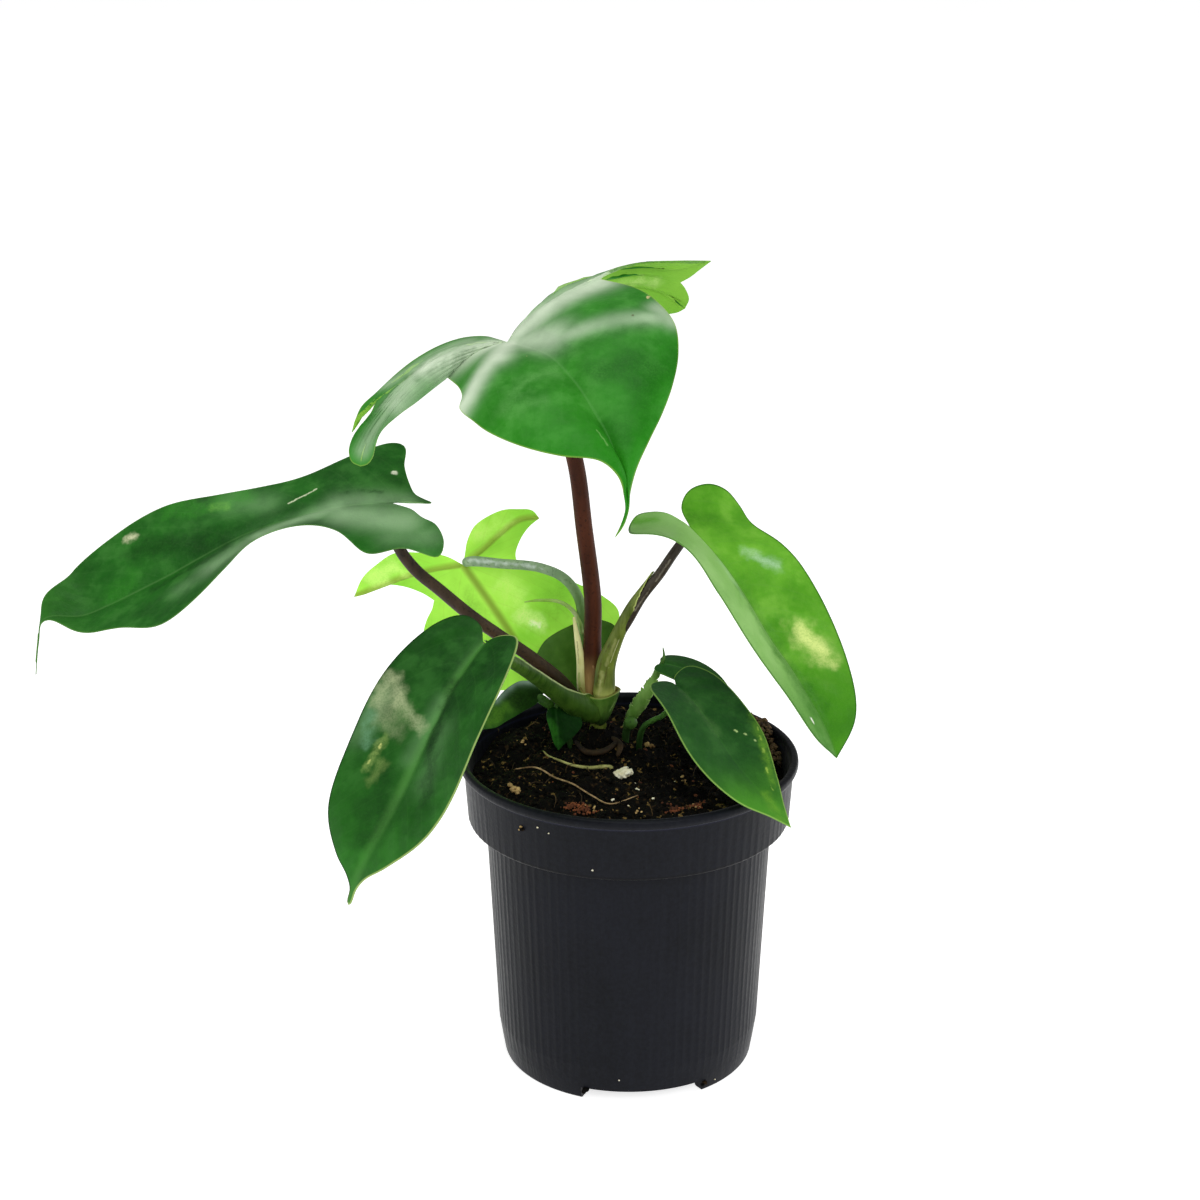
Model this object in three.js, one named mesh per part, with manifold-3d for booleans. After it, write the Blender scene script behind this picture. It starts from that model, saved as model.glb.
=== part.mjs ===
// Potted philodendron in a 12 cm nursery pot.
// Millimetres, +Z up. The origin is on the pot's axis, in the plane it stands on; the front is -Y.
import * as THREE from 'three';
import { mergeVertices } from 'three/addons/utils/BufferGeometryUtils.js';
import Module from 'manifold-3d';

const wasm = await Module();
wasm.setup();

// Pot
const RIM_RADIUS = 60;
const POT_HEIGHT = 114.4;
const WALL = 1.4;
const FLOOR_HEIGHT = 4.6;
const NOTCH_HEIGHT = 4.6;
const NOTCH_ANGLE = 57;
const NOTCH_COUNT = 3;
const NOTCH_CENTRE = -81.8;
const DRAIN_RADIUS = 3.5;
const CENTRE_PAD_RADIUS = 9;
const POT_SEGMENTS = 54;

// Soil, leaves and gaps
const SOIL_LEVEL = 111;
const SOIL_RINGS = 12;
const SOIL_SPOKES = 36;
const CRUMB_COUNT = 30;
const GRAIN_COUNT = 8;
const BLADE_THICKNESS = 0.8;
const FIT_GAP = 0.3;
const JOINT_GAP = 0.45;
const EDGE_GAP = 0.5;
const SEAT_RADIUS = 2;
const STALK_SIDES = 8;

// Seeded random numbers
function seededRandom(seed) {
  let state = seed;
  return () => {
    state = (state * 1664525 + 1013904223) % 4294967296;
    return state / 4294967296;
  };
}

// Solids for joins and cuts
function toSolid(geometry) {
  const bare = geometry.clone();
  bare.deleteAttribute('normal');
  bare.deleteAttribute('uv');
  const merged = mergeVertices(bare, 1e-4);
  const corners = [];
  for (let i = 0; i < merged.index.count; i += 3) {
    const [a, b, c] = [0, 1, 2].map((k) => merged.index.getX(i + k));
    if (a !== b && b !== c && a !== c) corners.push(a, b, c);
  }
  const build = (triangles) => new wasm.Manifold(new wasm.Mesh({
    numProp: 3,
    vertProperties: new Float32Array(merged.attributes.position.array),
    triVerts: new Uint32Array(triangles),
  }));
  const solid = build(corners);
  if (solid.volume() > 0) return solid;
  return build(corners.reverse());
}

function toGeometry(solid) {
  const mesh = solid.getMesh();
  const geometry = new THREE.BufferGeometry();
  geometry.setAttribute('position', new THREE.BufferAttribute(new Float32Array(mesh.vertProperties), 3));
  geometry.setIndex(new THREE.BufferAttribute(new Uint32Array(mesh.triVerts), 1));
  geometry.computeVertexNormals();
  return geometry;
}

function largestBody(solid) {
  let best = null;
  for (const body of solid.decompose()) {
    if (best === null || body.volume() > best.volume()) best = body;
  }
  return best;
}

function joinAll(solids) {
  return solids.reduce((sum, solid) => sum.add(solid));
}

// Smooth curve through a few points, sampled evenly
function sample(points, count) {
  const curve = new THREE.CatmullRomCurve3(points.map((p) => new THREE.Vector3(...p)), false, 'centripetal');
  curve.arcLengthDivisions = 400;
  return curve.getSpacedPoints(count);
}

// Closed round or flattened rod along a curve.
// Each station is [x, y, z, radius]; flat squeezes the section, groove hollows its upper side.
function rod(stations, steps, options = {}) {
  const { sides = STALK_SIDES, flat = 1, groove = 0, grow = 0, up = [0, 0, 1] } = options;
  const path = sample(stations.map((s) => s.slice(0, 3)), steps);
  const knots = sample(stations.map((s) => s.slice(0, 3)), 200);
  const marks = stations.map((s) => {
    let nearest = 0;
    const here = new THREE.Vector3(s[0], s[1], s[2]);
    knots.forEach((p, i) => {
      if (p.distanceTo(here) < knots[nearest].distanceTo(here)) nearest = i;
    });
    return nearest / 200;
  });
  const radiusAt = (t) => {
    let k = 0;
    while (k < marks.length - 2 && t > marks[k + 1]) k += 1;
    const share = (t - marks[k]) / (marks[k + 1] - marks[k]);
    return stations[k][3] + (stations[k + 1][3] - stations[k][3]) * Math.min(Math.max(share, 0), 1) + grow;
  };
  const positions = [];
  const upward = new THREE.Vector3(...up);
  let side = null;
  for (let i = 0; i <= steps; i += 1) {
    const ahead = path[Math.min(i + 1, steps)];
    const behind = path[Math.max(i - 1, 0)];
    const tangent = new THREE.Vector3().subVectors(ahead, behind).normalize();
    if (side === null) side = new THREE.Vector3().crossVectors(tangent, upward);
    if (side.length() < 0.2) side.set(1, 0, 0);
    side.addScaledVector(tangent, -side.dot(tangent)).normalize();
    const over = new THREE.Vector3().crossVectors(side, tangent);
    const radius = radiusAt(i / steps);
    for (let k = 0; k < sides; k += 1) {
      const angle = (2 * Math.PI * (k + 0.5)) / sides;
      const lift = Math.sin(angle) * flat;
      const dent = lift > 0 ? 1 - groove : 1;
      const point = path[i].clone();
      point.addScaledVector(side, Math.cos(angle) * radius);
      point.addScaledVector(over, lift * dent * radius);
      positions.push(...point.toArray());
    }
  }
  const first = positions.length / 3;
  positions.push(...path[0].toArray(), ...path[steps].toArray());
  const index = [];
  for (let i = 0; i < steps; i += 1) {
    for (let k = 0; k < sides; k += 1) {
      const a = i * sides + k;
      const b = i * sides + ((k + 1) % sides);
      index.push(a, b, a + sides, b, b + sides, a + sides);
    }
  }
  for (let k = 0; k < sides; k += 1) {
    const next = (k + 1) % sides;
    index.push(first, next, k);
    index.push(first + 1, steps * sides + k, steps * sides + next);
  }
  const geometry = new THREE.BufferGeometry();
  geometry.setAttribute('position', new THREE.BufferAttribute(new Float32Array(positions), 3));
  geometry.setIndex(index);
  return toSolid(geometry);
}

// Turned solid from a closed profile of [radius, height] points
function turned(profile, segments) {
  const geometry = new THREE.LatheGeometry(profile.map((p) => new THREE.Vector2(...p)), segments);
  geometry.rotateX(Math.PI / 2);
  return toSolid(geometry);
}

// Bend of a flat leaf: stations are [distance, heading, pitch, roll, left fold, right fold] in degrees
function leafBend(hub, stations) {
  const at = (x) => {
    const last = stations.length - 1;
    const here = Math.min(Math.max(x, stations[0][0]), stations[last][0]);
    let k = 0;
    while (k < last - 1 && here > stations[k + 1][0]) k += 1;
    const slope = (i) => {
      const before = stations[Math.max(i - 1, 0)];
      const middle = stations[i];
      const after = stations[Math.min(i + 1, last)];
      const h0 = Math.max(middle[0] - before[0], 1e-9);
      const h1 = Math.max(after[0] - middle[0], 1e-9);
      return middle.slice(1).map((value, c) => {
        const d0 = (value - before[c + 1]) / h0;
        const d1 = (after[c + 1] - value) / h1;
        if (i === 0) return d1;
        if (i === last) return d0;
        return (d0 * h1 + d1 * h0) / (h0 + h1);
      });
    };
    const start = slope(k);
    const end = slope(k + 1);
    const h = stations[k + 1][0] - stations[k][0];
    const t = (here - stations[k][0]) / h;
    return start.map((value, c) => (2 * t ** 3 - 3 * t ** 2 + 1) * stations[k][c + 1]
      + (t ** 3 - 2 * t ** 2 + t) * h * value
      + (-2 * t ** 3 + 3 * t ** 2) * stations[k + 1][c + 1]
      + (t ** 3 - t ** 2) * h * end[c]);
  };
  const axes = (values) => {
    const [heading, pitch, roll] = values.map(THREE.MathUtils.degToRad);
    const along = new THREE.Vector3(
      Math.cos(pitch) * Math.cos(heading),
      Math.cos(pitch) * Math.sin(heading),
      Math.sin(pitch),
    );
    const level = new THREE.Vector3(-Math.sin(heading), Math.cos(heading), 0);
    const face = new THREE.Vector3().crossVectors(along, level);
    const left = level.clone().multiplyScalar(Math.cos(roll)).addScaledVector(face, Math.sin(roll));
    const normal = level.clone().multiplyScalar(-Math.sin(roll)).addScaledVector(face, Math.cos(roll));
    return { along, left, normal };
  };
  const step = 0.5;
  const spine = (x) => {
    const point = new THREE.Vector3(...hub);
    const count = Math.max(1, Math.ceil(Math.abs(x) / step));
    for (let i = 0; i < count; i += 1) {
      point.addScaledVector(axes(at((x * (i + 0.5)) / count)).along, x / count);
    }
    return point;
  };
  return ([x, y]) => {
    const values = at(x);
    const { left, normal } = axes(values);
    const fold = THREE.MathUtils.degToRad(y >= 0 ? values[3] : values[4]);
    const point = spine(x);
    point.addScaledVector(left, y * Math.cos(fold));
    point.addScaledVector(normal, Math.abs(y) * Math.sin(fold));
    return point;
  };
}

// Rows of points from a rib out to one margin; a bulge lifts the middle of each row.
// A seam is the curved first row, from the hub to the notch that two lobes share.
function sheet(rib, margin, seam, rows, columns, bulge, ribEase) {
  const first = seam ? sample(seam, columns) : null;
  const ribPoints = sample(rib, 120);
  const edge = sample(margin, rows);
  const grid = [];
  for (let i = 0; i <= rows; i += 1) {
    const t = i / rows;
    const root = ribPoints[Math.round(120 * t ** ribEase)];
    const ahead = ribPoints[Math.min(Math.round(120 * t ** ribEase) + 1, 120)];
    const behind = ribPoints[Math.max(Math.round(120 * t ** ribEase) - 1, 0)];
    const tangent = new THREE.Vector3().subVectors(ahead, behind).normalize();
    const rung = new THREE.Vector3().subVectors(edge[i], root);
    const lift = new THREE.Vector3().crossVectors(tangent, rung);
    if (lift.length() > 1e-6) lift.normalize();
    const row = [];
    for (let j = 0; j <= columns; j += 1) {
      const s = j / columns;
      const point = root.clone().addScaledVector(rung, s);
      point.addScaledVector(lift, 4 * bulge * s * (1 - s) * Math.sin(Math.PI * t));
      if (first) {
        const straight = ribPoints[0].clone().lerp(edge[0], s);
        point.addScaledVector(new THREE.Vector3().subVectors(first[j], straight), (1 - t) ** 2);
      }
      row.push(point);
    }
    grid.push(row);
  }
  return grid;
}

// Leaf blade of even thickness from lobes; every lobe has a rib and two margins
function blade(lobes, options = {}) {
  const { rows = 16, columns = 3, place = null, thickness = BLADE_THICKNESS, ribEase = 1.3 } = options;
  const points = [];
  const triangles = [];
  const known = new Map();
  const indexOf = (point) => {
    const key = point.toArray().map((c) => Math.round(c * 1e3)).join();
    if (!known.has(key)) {
      known.set(key, points.length);
      points.push(point);
    }
    return known.get(key);
  };
  const addTriangle = (a, b, c) => {
    if (a !== b && b !== c && a !== c) triangles.push([a, b, c]);
  };
  const to3d = (p) => [p[0], p[1], p[2] ?? 0];
  for (const lobe of lobes) {
    for (const hand of ['left', 'right']) {
      const sign = hand === 'left' ? 1 : -1;
      const steps = lobe.rows ?? rows;
      const grid = sheet(
        lobe.rib.map(to3d), lobe[hand].map(to3d), lobe[`${hand}Seam`], steps, columns,
        sign * (lobe.bulge ?? 0), ribEase,
      );
      const ids = grid.map((row) => row.map((p) => indexOf(place ? place([p.x, p.y]) : p)));
      for (let i = 0; i < steps; i += 1) {
        for (let j = 0; j < columns; j += 1) {
          const corners = [ids[i][j], ids[i + 1][j], ids[i + 1][j + 1], ids[i][j + 1]];
          if (hand === 'right') corners.reverse();
          addTriangle(corners[0], corners[1], corners[2]);
          addTriangle(corners[0], corners[2], corners[3]);
        }
      }
    }
  }
  const normals = points.map(() => new THREE.Vector3());
  const edges = new Map();
  for (const [a, b, c] of triangles) {
    const ab = new THREE.Vector3().subVectors(points[b], points[a]);
    const ac = new THREE.Vector3().subVectors(points[c], points[a]);
    const face = new THREE.Vector3().crossVectors(ab, ac);
    for (const i of [a, b, c]) normals[i].add(face);
    for (const [i, j] of [[a, b], [b, c], [c, a]]) edges.set(`${i},${j}`, [i, j]);
  }
  const count = points.length;
  const positions = [];
  for (const sign of [0.5, -0.5]) {
    points.forEach((point, i) => {
      const moved = point.clone().addScaledVector(normals[i].clone().normalize(), sign * thickness);
      positions.push(...moved.toArray());
    });
  }
  const index = [];
  for (const [a, b, c] of triangles) index.push(a, b, c, count + a, count + c, count + b);
  for (const [i, j] of edges.values()) {
    if (!edges.has(`${j},${i}`)) index.push(i, count + i, j, j, count + i, count + j);
  }
  const geometry = new THREE.BufferGeometry();
  geometry.setAttribute('position', new THREE.BufferAttribute(new Float32Array(positions), 3));
  geometry.setIndex(index);
  return toSolid(geometry);
}

// Pot: a stepped cup with a deep collar, rolled lip, raised floor and three notches in the foot
const potOutside = [
  [42.6, 0], [44.4, 1.2], [45.9, 6.5], [46.9, 14], [50.6, 90], [51.4, 91.2], [56.3, 91.2], [56.9, 92],
  [58.3, 110.6], [59.5, 111.1], [RIM_RADIUS, 112.3], [59.8, 113.8], [59, POT_HEIGHT],
];
const potInside = [
  [57.7, POT_HEIGHT], [57, 113.2], [56.9, 110.5], [55.4, 92.8], [50.2, 92.8], [49.2, 90], [45.4, 14],
  [44.2, FLOOR_HEIGHT + WALL + 2], [42.6, FLOOR_HEIGHT + WALL],
];
const potProfile = [
  [0, 0], [CENTRE_PAD_RADIUS - 0.6, 0], [CENTRE_PAD_RADIUS, 0.6], [CENTRE_PAD_RADIUS, FLOOR_HEIGHT],
  [39.5, FLOOR_HEIGHT], [40.2, 0.6], [40.8, 0],
  ...potOutside,
  ...potInside,
  [0, FLOOR_HEIGHT + WALL],
  [0, 0],
];
let potSolid = turned(potProfile, POT_SEGMENTS);
for (let i = 0; i < NOTCH_COUNT; i += 1) {
  const middle = THREE.MathUtils.degToRad(NOTCH_CENTRE + (360 / NOTCH_COUNT) * i);
  const half = THREE.MathUtils.degToRad(NOTCH_ANGLE / 2);
  const wedge = new THREE.Shape();
  wedge.moveTo(36 * Math.cos(middle - half), 36 * Math.sin(middle - half));
  for (let k = 0; k <= 8; k += 1) {
    const angle = middle - half + (2 * half * k) / 8;
    wedge.lineTo(52 * Math.cos(angle), 52 * Math.sin(angle));
  }
  wedge.lineTo(36 * Math.cos(middle + half), 36 * Math.sin(middle + half));
  const notch = new THREE.ExtrudeGeometry(wedge, { depth: NOTCH_HEIGHT + 5, bevelEnabled: false });
  notch.translate(0, 0, -5);
  potSolid = potSolid.subtract(toSolid(notch));
  const drain = new THREE.CylinderGeometry(DRAIN_RADIUS, DRAIN_RADIUS, 6, 12);
  drain.rotateX(Math.PI / 2);
  drain.translate(33 * Math.cos(middle), 33 * Math.sin(middle), FLOOR_HEIGHT + 1);
  potSolid = potSolid.subtract(toSolid(drain));
}

// Leaf on top: five lobes; the middle one drops towards the front, the side ones split at their ends
const topHub = [-41.5, 6, 261.5];
const topTip = [-5.5, -59, 213];
const nearNotch = [-61, -7, 252.5];
const farNotch = [-10, 22, 279.5];
const nearFork = [-84.5, -12, 246];
const farFork = [18, 47, 273];
const nearSeam = [topHub, [-47, 3.5, 261], [-54, -1.5, 258.5], nearNotch];
const farSeam = [topHub, [-33, 11, 268.5], [-22, 16.5, 275.5], farNotch];
const nearForkSeam = [topHub, [-50.5, 3.5, 262.2], [-62, -1.5, 260], [-72, -8, 254.5], nearFork];
const farForkSeam = [topHub, [-31, 20, 271], [-18.5, 30.5, 276.5], [-7, 36, 277.5], [6, 42, 276.5], farFork];
const topLobes = [
  {
    rows: 26,
    bulge: 3,
    leftSeam: farSeam,
    rightSeam: nearSeam,
    rib: [topHub, [-33.5, -6, 262.5], [-25, -17, 261], [-15, -33, 252.5], [-7, -46, 241.5],
      [-1.5, -56, 227], [-1.5, -57, 222], [-3, -58, 217], topTip],
    left: [farNotch, [2, 10, 279], [8.5, 0, 277], [14.5, -10, 271.5], [15.5, -20, 263.5], [13.5, -28, 255.5],
      [10, -36, 248], [5.5, -45, 241], [1.5, -52, 234], [-0.6, -56, 227], [-1, -57, 222], [-2.6, -58, 217],
      topTip],
    right: [nearNotch, [-57, -14, 251], [-55.5, -20, 249.5], [-56, -27, 247], [-51.5, -34, 245],
      [-46.5, -40, 243], [-35.5, -50, 241], [-23, -56, 239.5], [-10, -57, 238], [-4.5, -57, 233],
      [-2.6, -56.5, 227], [-2, -57, 222], [-3.5, -58, 217], topTip],
  },
  {
    rows: 12,
    bulge: 1,
    leftSeam: nearSeam,
    rightSeam: nearForkSeam,
    rib: [topHub, [-50.5, 1, 261.5], [-62, -6, 259], [-72, -13, 252.5], [-81, -20, 244], [-86.5, -25, 236],
      [-89.5, -28, 229]],
    left: [nearNotch, [-65.5, -12, 250], [-70.5, -17, 247], [-76.5, -22, 243.5], [-83, -26, 239],
      [-85.5, -28, 235], [-87, -29, 231.5], [-89.5, -28, 229]],
    right: [nearFork, [-86, -16, 243], [-90, -20, 238.5], [-92, -23, 235.5], [-92, -26, 232],
      [-89.5, -28, 229]],
  },
  {
    rows: 12,
    leftSeam: nearForkSeam,
    rib: [topHub, [-50.5, 6, 262], [-62.5, 3, 259.5], [-72, -3, 255], [-82, -9, 247.5], [-88, -12, 243.5],
      [-92.5, -17, 236.5]],
    left: [nearFork, [-86.5, -13, 244.5], [-91, -15, 241], [-92.5, -17, 236.5]],
    right: [topHub, [-45, 10, 261.5], [-49, 12, 262], [-56.5, 12, 261.5], [-64.5, 9, 259.5], [-72.5, 4, 256],
      [-78, 0, 252.5], [-85, -6, 247], [-90, -11, 243], [-92.5, -17, 236.5]],
  },
  {
    rows: 12,
    leftSeam: farForkSeam,
    rightSeam: farSeam,
    rib: [topHub, [-37.5, 13, 265.5], [-32.5, 17, 269.5], [-25.5, 23, 275.5], [-18.5, 27, 278],
      [-9.5, 31, 280], [3.5, 37, 280], [17.5, 42, 279.5], [28.5, 45, 281]],
    left: [farFork, [21.5, 47, 275], [24.5, 46.5, 277.5], [28.5, 45, 281]],
    right: [farNotch, [-6, 24, 282.5], [0, 27, 283.5], [6.5, 31, 283.5], [18, 38, 282.5], [28.5, 45, 281]],
  },
  {
    rows: 12,
    bulge: 1,
    rightSeam: farForkSeam,
    rib: [topHub, [-36, 16, 265.5], [-28, 25, 270.5], [-17, 34, 273], [-5, 41, 273.5], [9, 47, 271],
      [19.5, 51, 264.5]],
    left: [topHub, [-38.5, 13, 261], [-32, 24, 260], [-22.5, 34, 258.5], [-10, 42, 257], [4, 48, 257],
      [14, 51, 259.5], [19.5, 51, 264.5]],
    right: [farFork, [20.5, 50, 269.5], [19.5, 51, 264.5]],
  },
];

// Long leaf to the left, with lobes turned back beside its stalk
const leftHub = [-82, -9, 209.5];
const leftPlace = leafBend(leftHub, [
  [-18, 181, 6.5, 3.5, -25.5, 4],
  [0, 178.5, -1.5, -5.5, -18, 15.5],
  [35, 188, -16, -1.5, 4.5, 20],
  [70, 191, -27.5, -14, 8.5, 21],
  [105, 193.5, -22, -13.5, 5, 14.5],
  [124, 199.5, -23.5, -6.5, 3, 7],
  [137, 200, -80, 0, 0, 0],
]);
const leftLobes = [{
  rib: [[0, 0], [137, 0]],
  left: [[0, 0], [-8, 3], [-12, 7], [-17, 10.5], [-20.5, 19.5], [-18.8, 27], [-7, 23], [6, 26.5],
    [17.5, 16.5], [29.5, 12], [46.5, 11.5], [59.5, 22], [84.5, 30.5], [100, 18], [114.5, 10.5],
    [123, 1.6], [126, 0.5], [137, 0]],
  right: [[0, 0], [-8, -0.5], [-15, -1], [-9, -6], [-6.5, -12], [-4, -21.5], [-2.5, -34], [11, -26.5],
    [25.5, -20.5], [39.5, -20.5], [53.5, -22.5], [71.5, -27], [90, -26.5], [109, -22], [120.5, -13],
    [124.5, -2.5], [126.5, -0.5], [137, 0]],
}];

// Heart-shaped leaf hanging at the front left
const lowLeftHub = [-48.5, -50, 174];
const lowLeftPlace = leafBend(lowLeftHub, [
  [-10, -140, -32, -2, 9, 10],
  [35, -129, -50, 5, 14, 10],
  [75, -129.5, -46, 2, 8, 6.5],
  [100, -134, -72, 5, 5, 1],
]);
const lowLeftLobes = [{
  rib: [[0, 0], [96.5, 0]],
  left: [[0, 0], [-4.5, 5.5], [-5.5, 13.5], [0.5, 19.5], [19.5, 27], [45.5, 27.5], [69, 22], [81.5, 11],
    [87, 4], [91, 1.2], [96.5, 0]],
  right: [[0, 0], [-5, -5.5], [-5.5, -13.5], [0, -20], [19.5, -27], [45.5, -27.5], [69.5, -22.5], [82.5, -12],
    [88, -4.5], [91.5, -1.3], [96.5, 0]],
}];

// Bright leaf hanging at the right, folded along its midrib
const rightHub = [21, -3.6, 198.7];
const rightPlace = leafBend(rightHub, [
  [-14, -43, -25, 24, -3, 5],
  [0, -39, -29.5, 9.5, 0, 21.5],
  [30, -45, -45.5, 9.5, 10.5, 36],
  [65, -42, -45, 11, 14.5, 32],
  [95, -44.5, -66, 4.5, 9.5, 19.5],
]);
const rightLobes = [{
  rib: [[0, 0], [94, 0]],
  left: [[0, 0], [-9, 4], [-12.8, 11], [-10.5, 19.5], [-4, 24], [20, 24.5], [46, 23], [68, 18.5], [84, 12],
    [94, 0]],
  right: [[0, 0], [-10.5, -3], [-15.5, -10.5], [-11, -19.5], [-4, -25], [20, -24.5], [46, -23.5],
    [67.5, -17.5], [84, -10.5], [94, 0]],
}];

// Small leaf over the rim at the front right, and the smaller one behind it
const frontRightHub = [16, -13.3, 145.4];
const frontRightPlace = leafBend(frontRightHub, [
  [-6, -48.5, -7.5, 6, 8, 7.5],
  [20, -58.5, -28.5, -2, 6.5, 11],
  [45, -45, -35, 4, 3, 4],
  [68, -34.5, -36.5, 6, -0.5, -1.5],
]);
const frontRightLobes = [{
  rib: [[0, 0], [68, 0]],
  left: [[0, 0], [-3.5, 2.4], [-4.6, 9.6], [0.5, 13.1], [16.2, 15.7], [33.2, 16], [51, 9.8],
    [61.3, 4], [68, 0]],
  right: [[0, 0], [-3, -2], [-4, -7.5], [0, -11.5], [16.2, -15.4], [33.3, -16.6], [51.5, -11.3],
    [61.2, -4], [68, 0]],
}];
const behindRightPlace = leafBend([12, 2, 147.5], [
  [-4, -22, 5, 0, 5, -15],
  [14, -22, -22, 0, 5, -20],
  [30, -26, -45, 0, 5, -20],
]);
const behindRightLobes = [{
  rib: [[0, 0], [30, 0]],
  left: [[0, 0], [-2, 2], [-1.5, 5.5], [3, 7.5], [13, 8], [22, 5.5], [30, 0]],
  right: [[0, 0], [-2, -2], [-1.5, -5], [3, -6.5], [13, -7], [22, -4.5], [30, 0]],
}];

// Young yellow-green leaf at the back, seen from below, with two horned side lobes
const backHub = [-60, 48, 168.5];
const backPlace = leafBend(backHub, [
  [-16, 0, -56, -94, 10, 10],
  [20, 4, -58, -94, 10, 12],
  [58, 8, -64, -92, 10, 12],
]);
const backLobes = [
  {
    rib: [[0, 0], [57, 0]],
    left: [[6, 17], [8.5, 19.5], [11, 23.5], [15, 27.5], [25, 31], [37, 29], [48, 19], [57, 0]],
    right: [[11.5, -16.5], [21.5, -24], [31.5, -31], [40, -36.5], [48, -39], [54, -34], [58, -18], [57, 0]],
  },
  {
    rows: 12,
    rib: [[0, 0], [-4, 10], [-7, 20], [-9, 30], [-11, 41.5]],
    left: [[0, 0], [-6.5, 4], [-13, 12], [-17, 19], [-17, 26.5], [-15.5, 34.5], [-11, 41.5]],
    right: [[6, 17], [1.5, 19], [-4.5, 23.5], [-9, 29.5], [-11, 36.5], [-11, 41.5]],
  },
  {
    rows: 12,
    rib: [[0, 0], [0, -8], [-1, -17], [-1, -26], [3, -32.5]],
    left: [[11.5, -16.5], [8.5, -18], [5.5, -22], [3.5, -27], [3, -32.5]],
    right: [[0, 0], [-3, -3], [-6, -6], [-9, -11.5], [-9, -17.5], [-7.5, -23.5], [-4.5, -28], [-1, -32],
      [3, -32.5]],
  },
];

// Small leaves round the foot of the plant
const innerPlace = leafBend([-17, 36, 124], [
  [-3, 95, 78, 0, 6, 6],
  [30, 95, 66, 0, 6, 6],
]);
const innerLobes = [{
  rib: [[0, 0], [26, -2]],
  left: [[0, 0], [-1.5, 8], [3.5, 15], [9, 17.5], [14, 16], [18.5, 13], [21.5, 8.5], [24, 3], [26, -2]],
  right: [[0, 0], [0, -5.5], [5, -8.5], [11, -10.5], [18, -13.5], [23, -13], [25.5, -8], [26, -2]],
}];
const droopPlace = leafBend([-26, 8, 129], [
  [0, -80, -55, 0, 5, 5],
  [16, -80, -75, 0, 5, 5],
]);
const droopLobes = [{
  rib: [[0, 0], [16, 0]],
  left: [[0, 0], [-0.5, 3.5], [2.5, 7], [7, 9], [10.5, 6.5], [13.5, 2.5], [16, 0]],
  right: [[0, 0], [1.5, -3], [4.5, -3.5], [9, -2.5], [13.5, -1.5], [16, 0]],
}];
const saddleTip = [-52.5, -9, 119.5];
const saddleHub = [-29.7, 12, 132.7];
const saddleLobes = [{
  rib: [saddleHub, [-35, 8, 135], [-40, 3, 132.5], [-45.5, -2, 126.5], [-50.5, -6, 121.5], saddleTip],
  left: [saddleHub, [-33.5, 5, 127.5], [-38.5, 0, 122], [-44, -4, 118.5], [-49, -8, 117], saddleTip],
  right: [saddleHub, [-34.5, 15, 132.5], [-41, 13, 130], [-46.5, 7, 125], [-51, 0, 121], saddleTip],
}];

// Blades on stalks of their own; spare thickens a blade into the shape that ends its stalk
const bladePlans = {
  top_leaf: { lobes: topLobes },
  left_leaf: { lobes: leftLobes, rows: 38, place: leftPlace, ribEase: 1.5 },
  low_left_leaf: { lobes: lowLeftLobes, rows: 24, place: lowLeftPlace },
  right_leaf: { lobes: rightLobes, rows: 24, place: rightPlace },
  front_right_leaf: { lobes: frontRightLobes, rows: 18, place: frontRightPlace },
  back_leaf: { lobes: backLobes, rows: 18, place: backPlace },
};
function leafBlade(name, spare = 0) {
  const { lobes, ...options } = bladePlans[name];
  return blade(lobes, { ...options, thickness: BLADE_THICKNESS + 2 * spare });
}
const blades = {};
for (const name of Object.keys(bladePlans)) blades[name] = leafBlade(name);

function ball(centre, radius) {
  const geometry = new THREE.IcosahedronGeometry(radius, 0);
  geometry.translate(...centre);
  return toSolid(geometry);
}

// What a stalk is cut back by, so that it ends just under its leaf
function leafSeat(leaf, hub, radius = SEAT_RADIUS) {
  return leafBlade(leaf, JOINT_GAP).add(ball(hub, radius));
}

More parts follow.
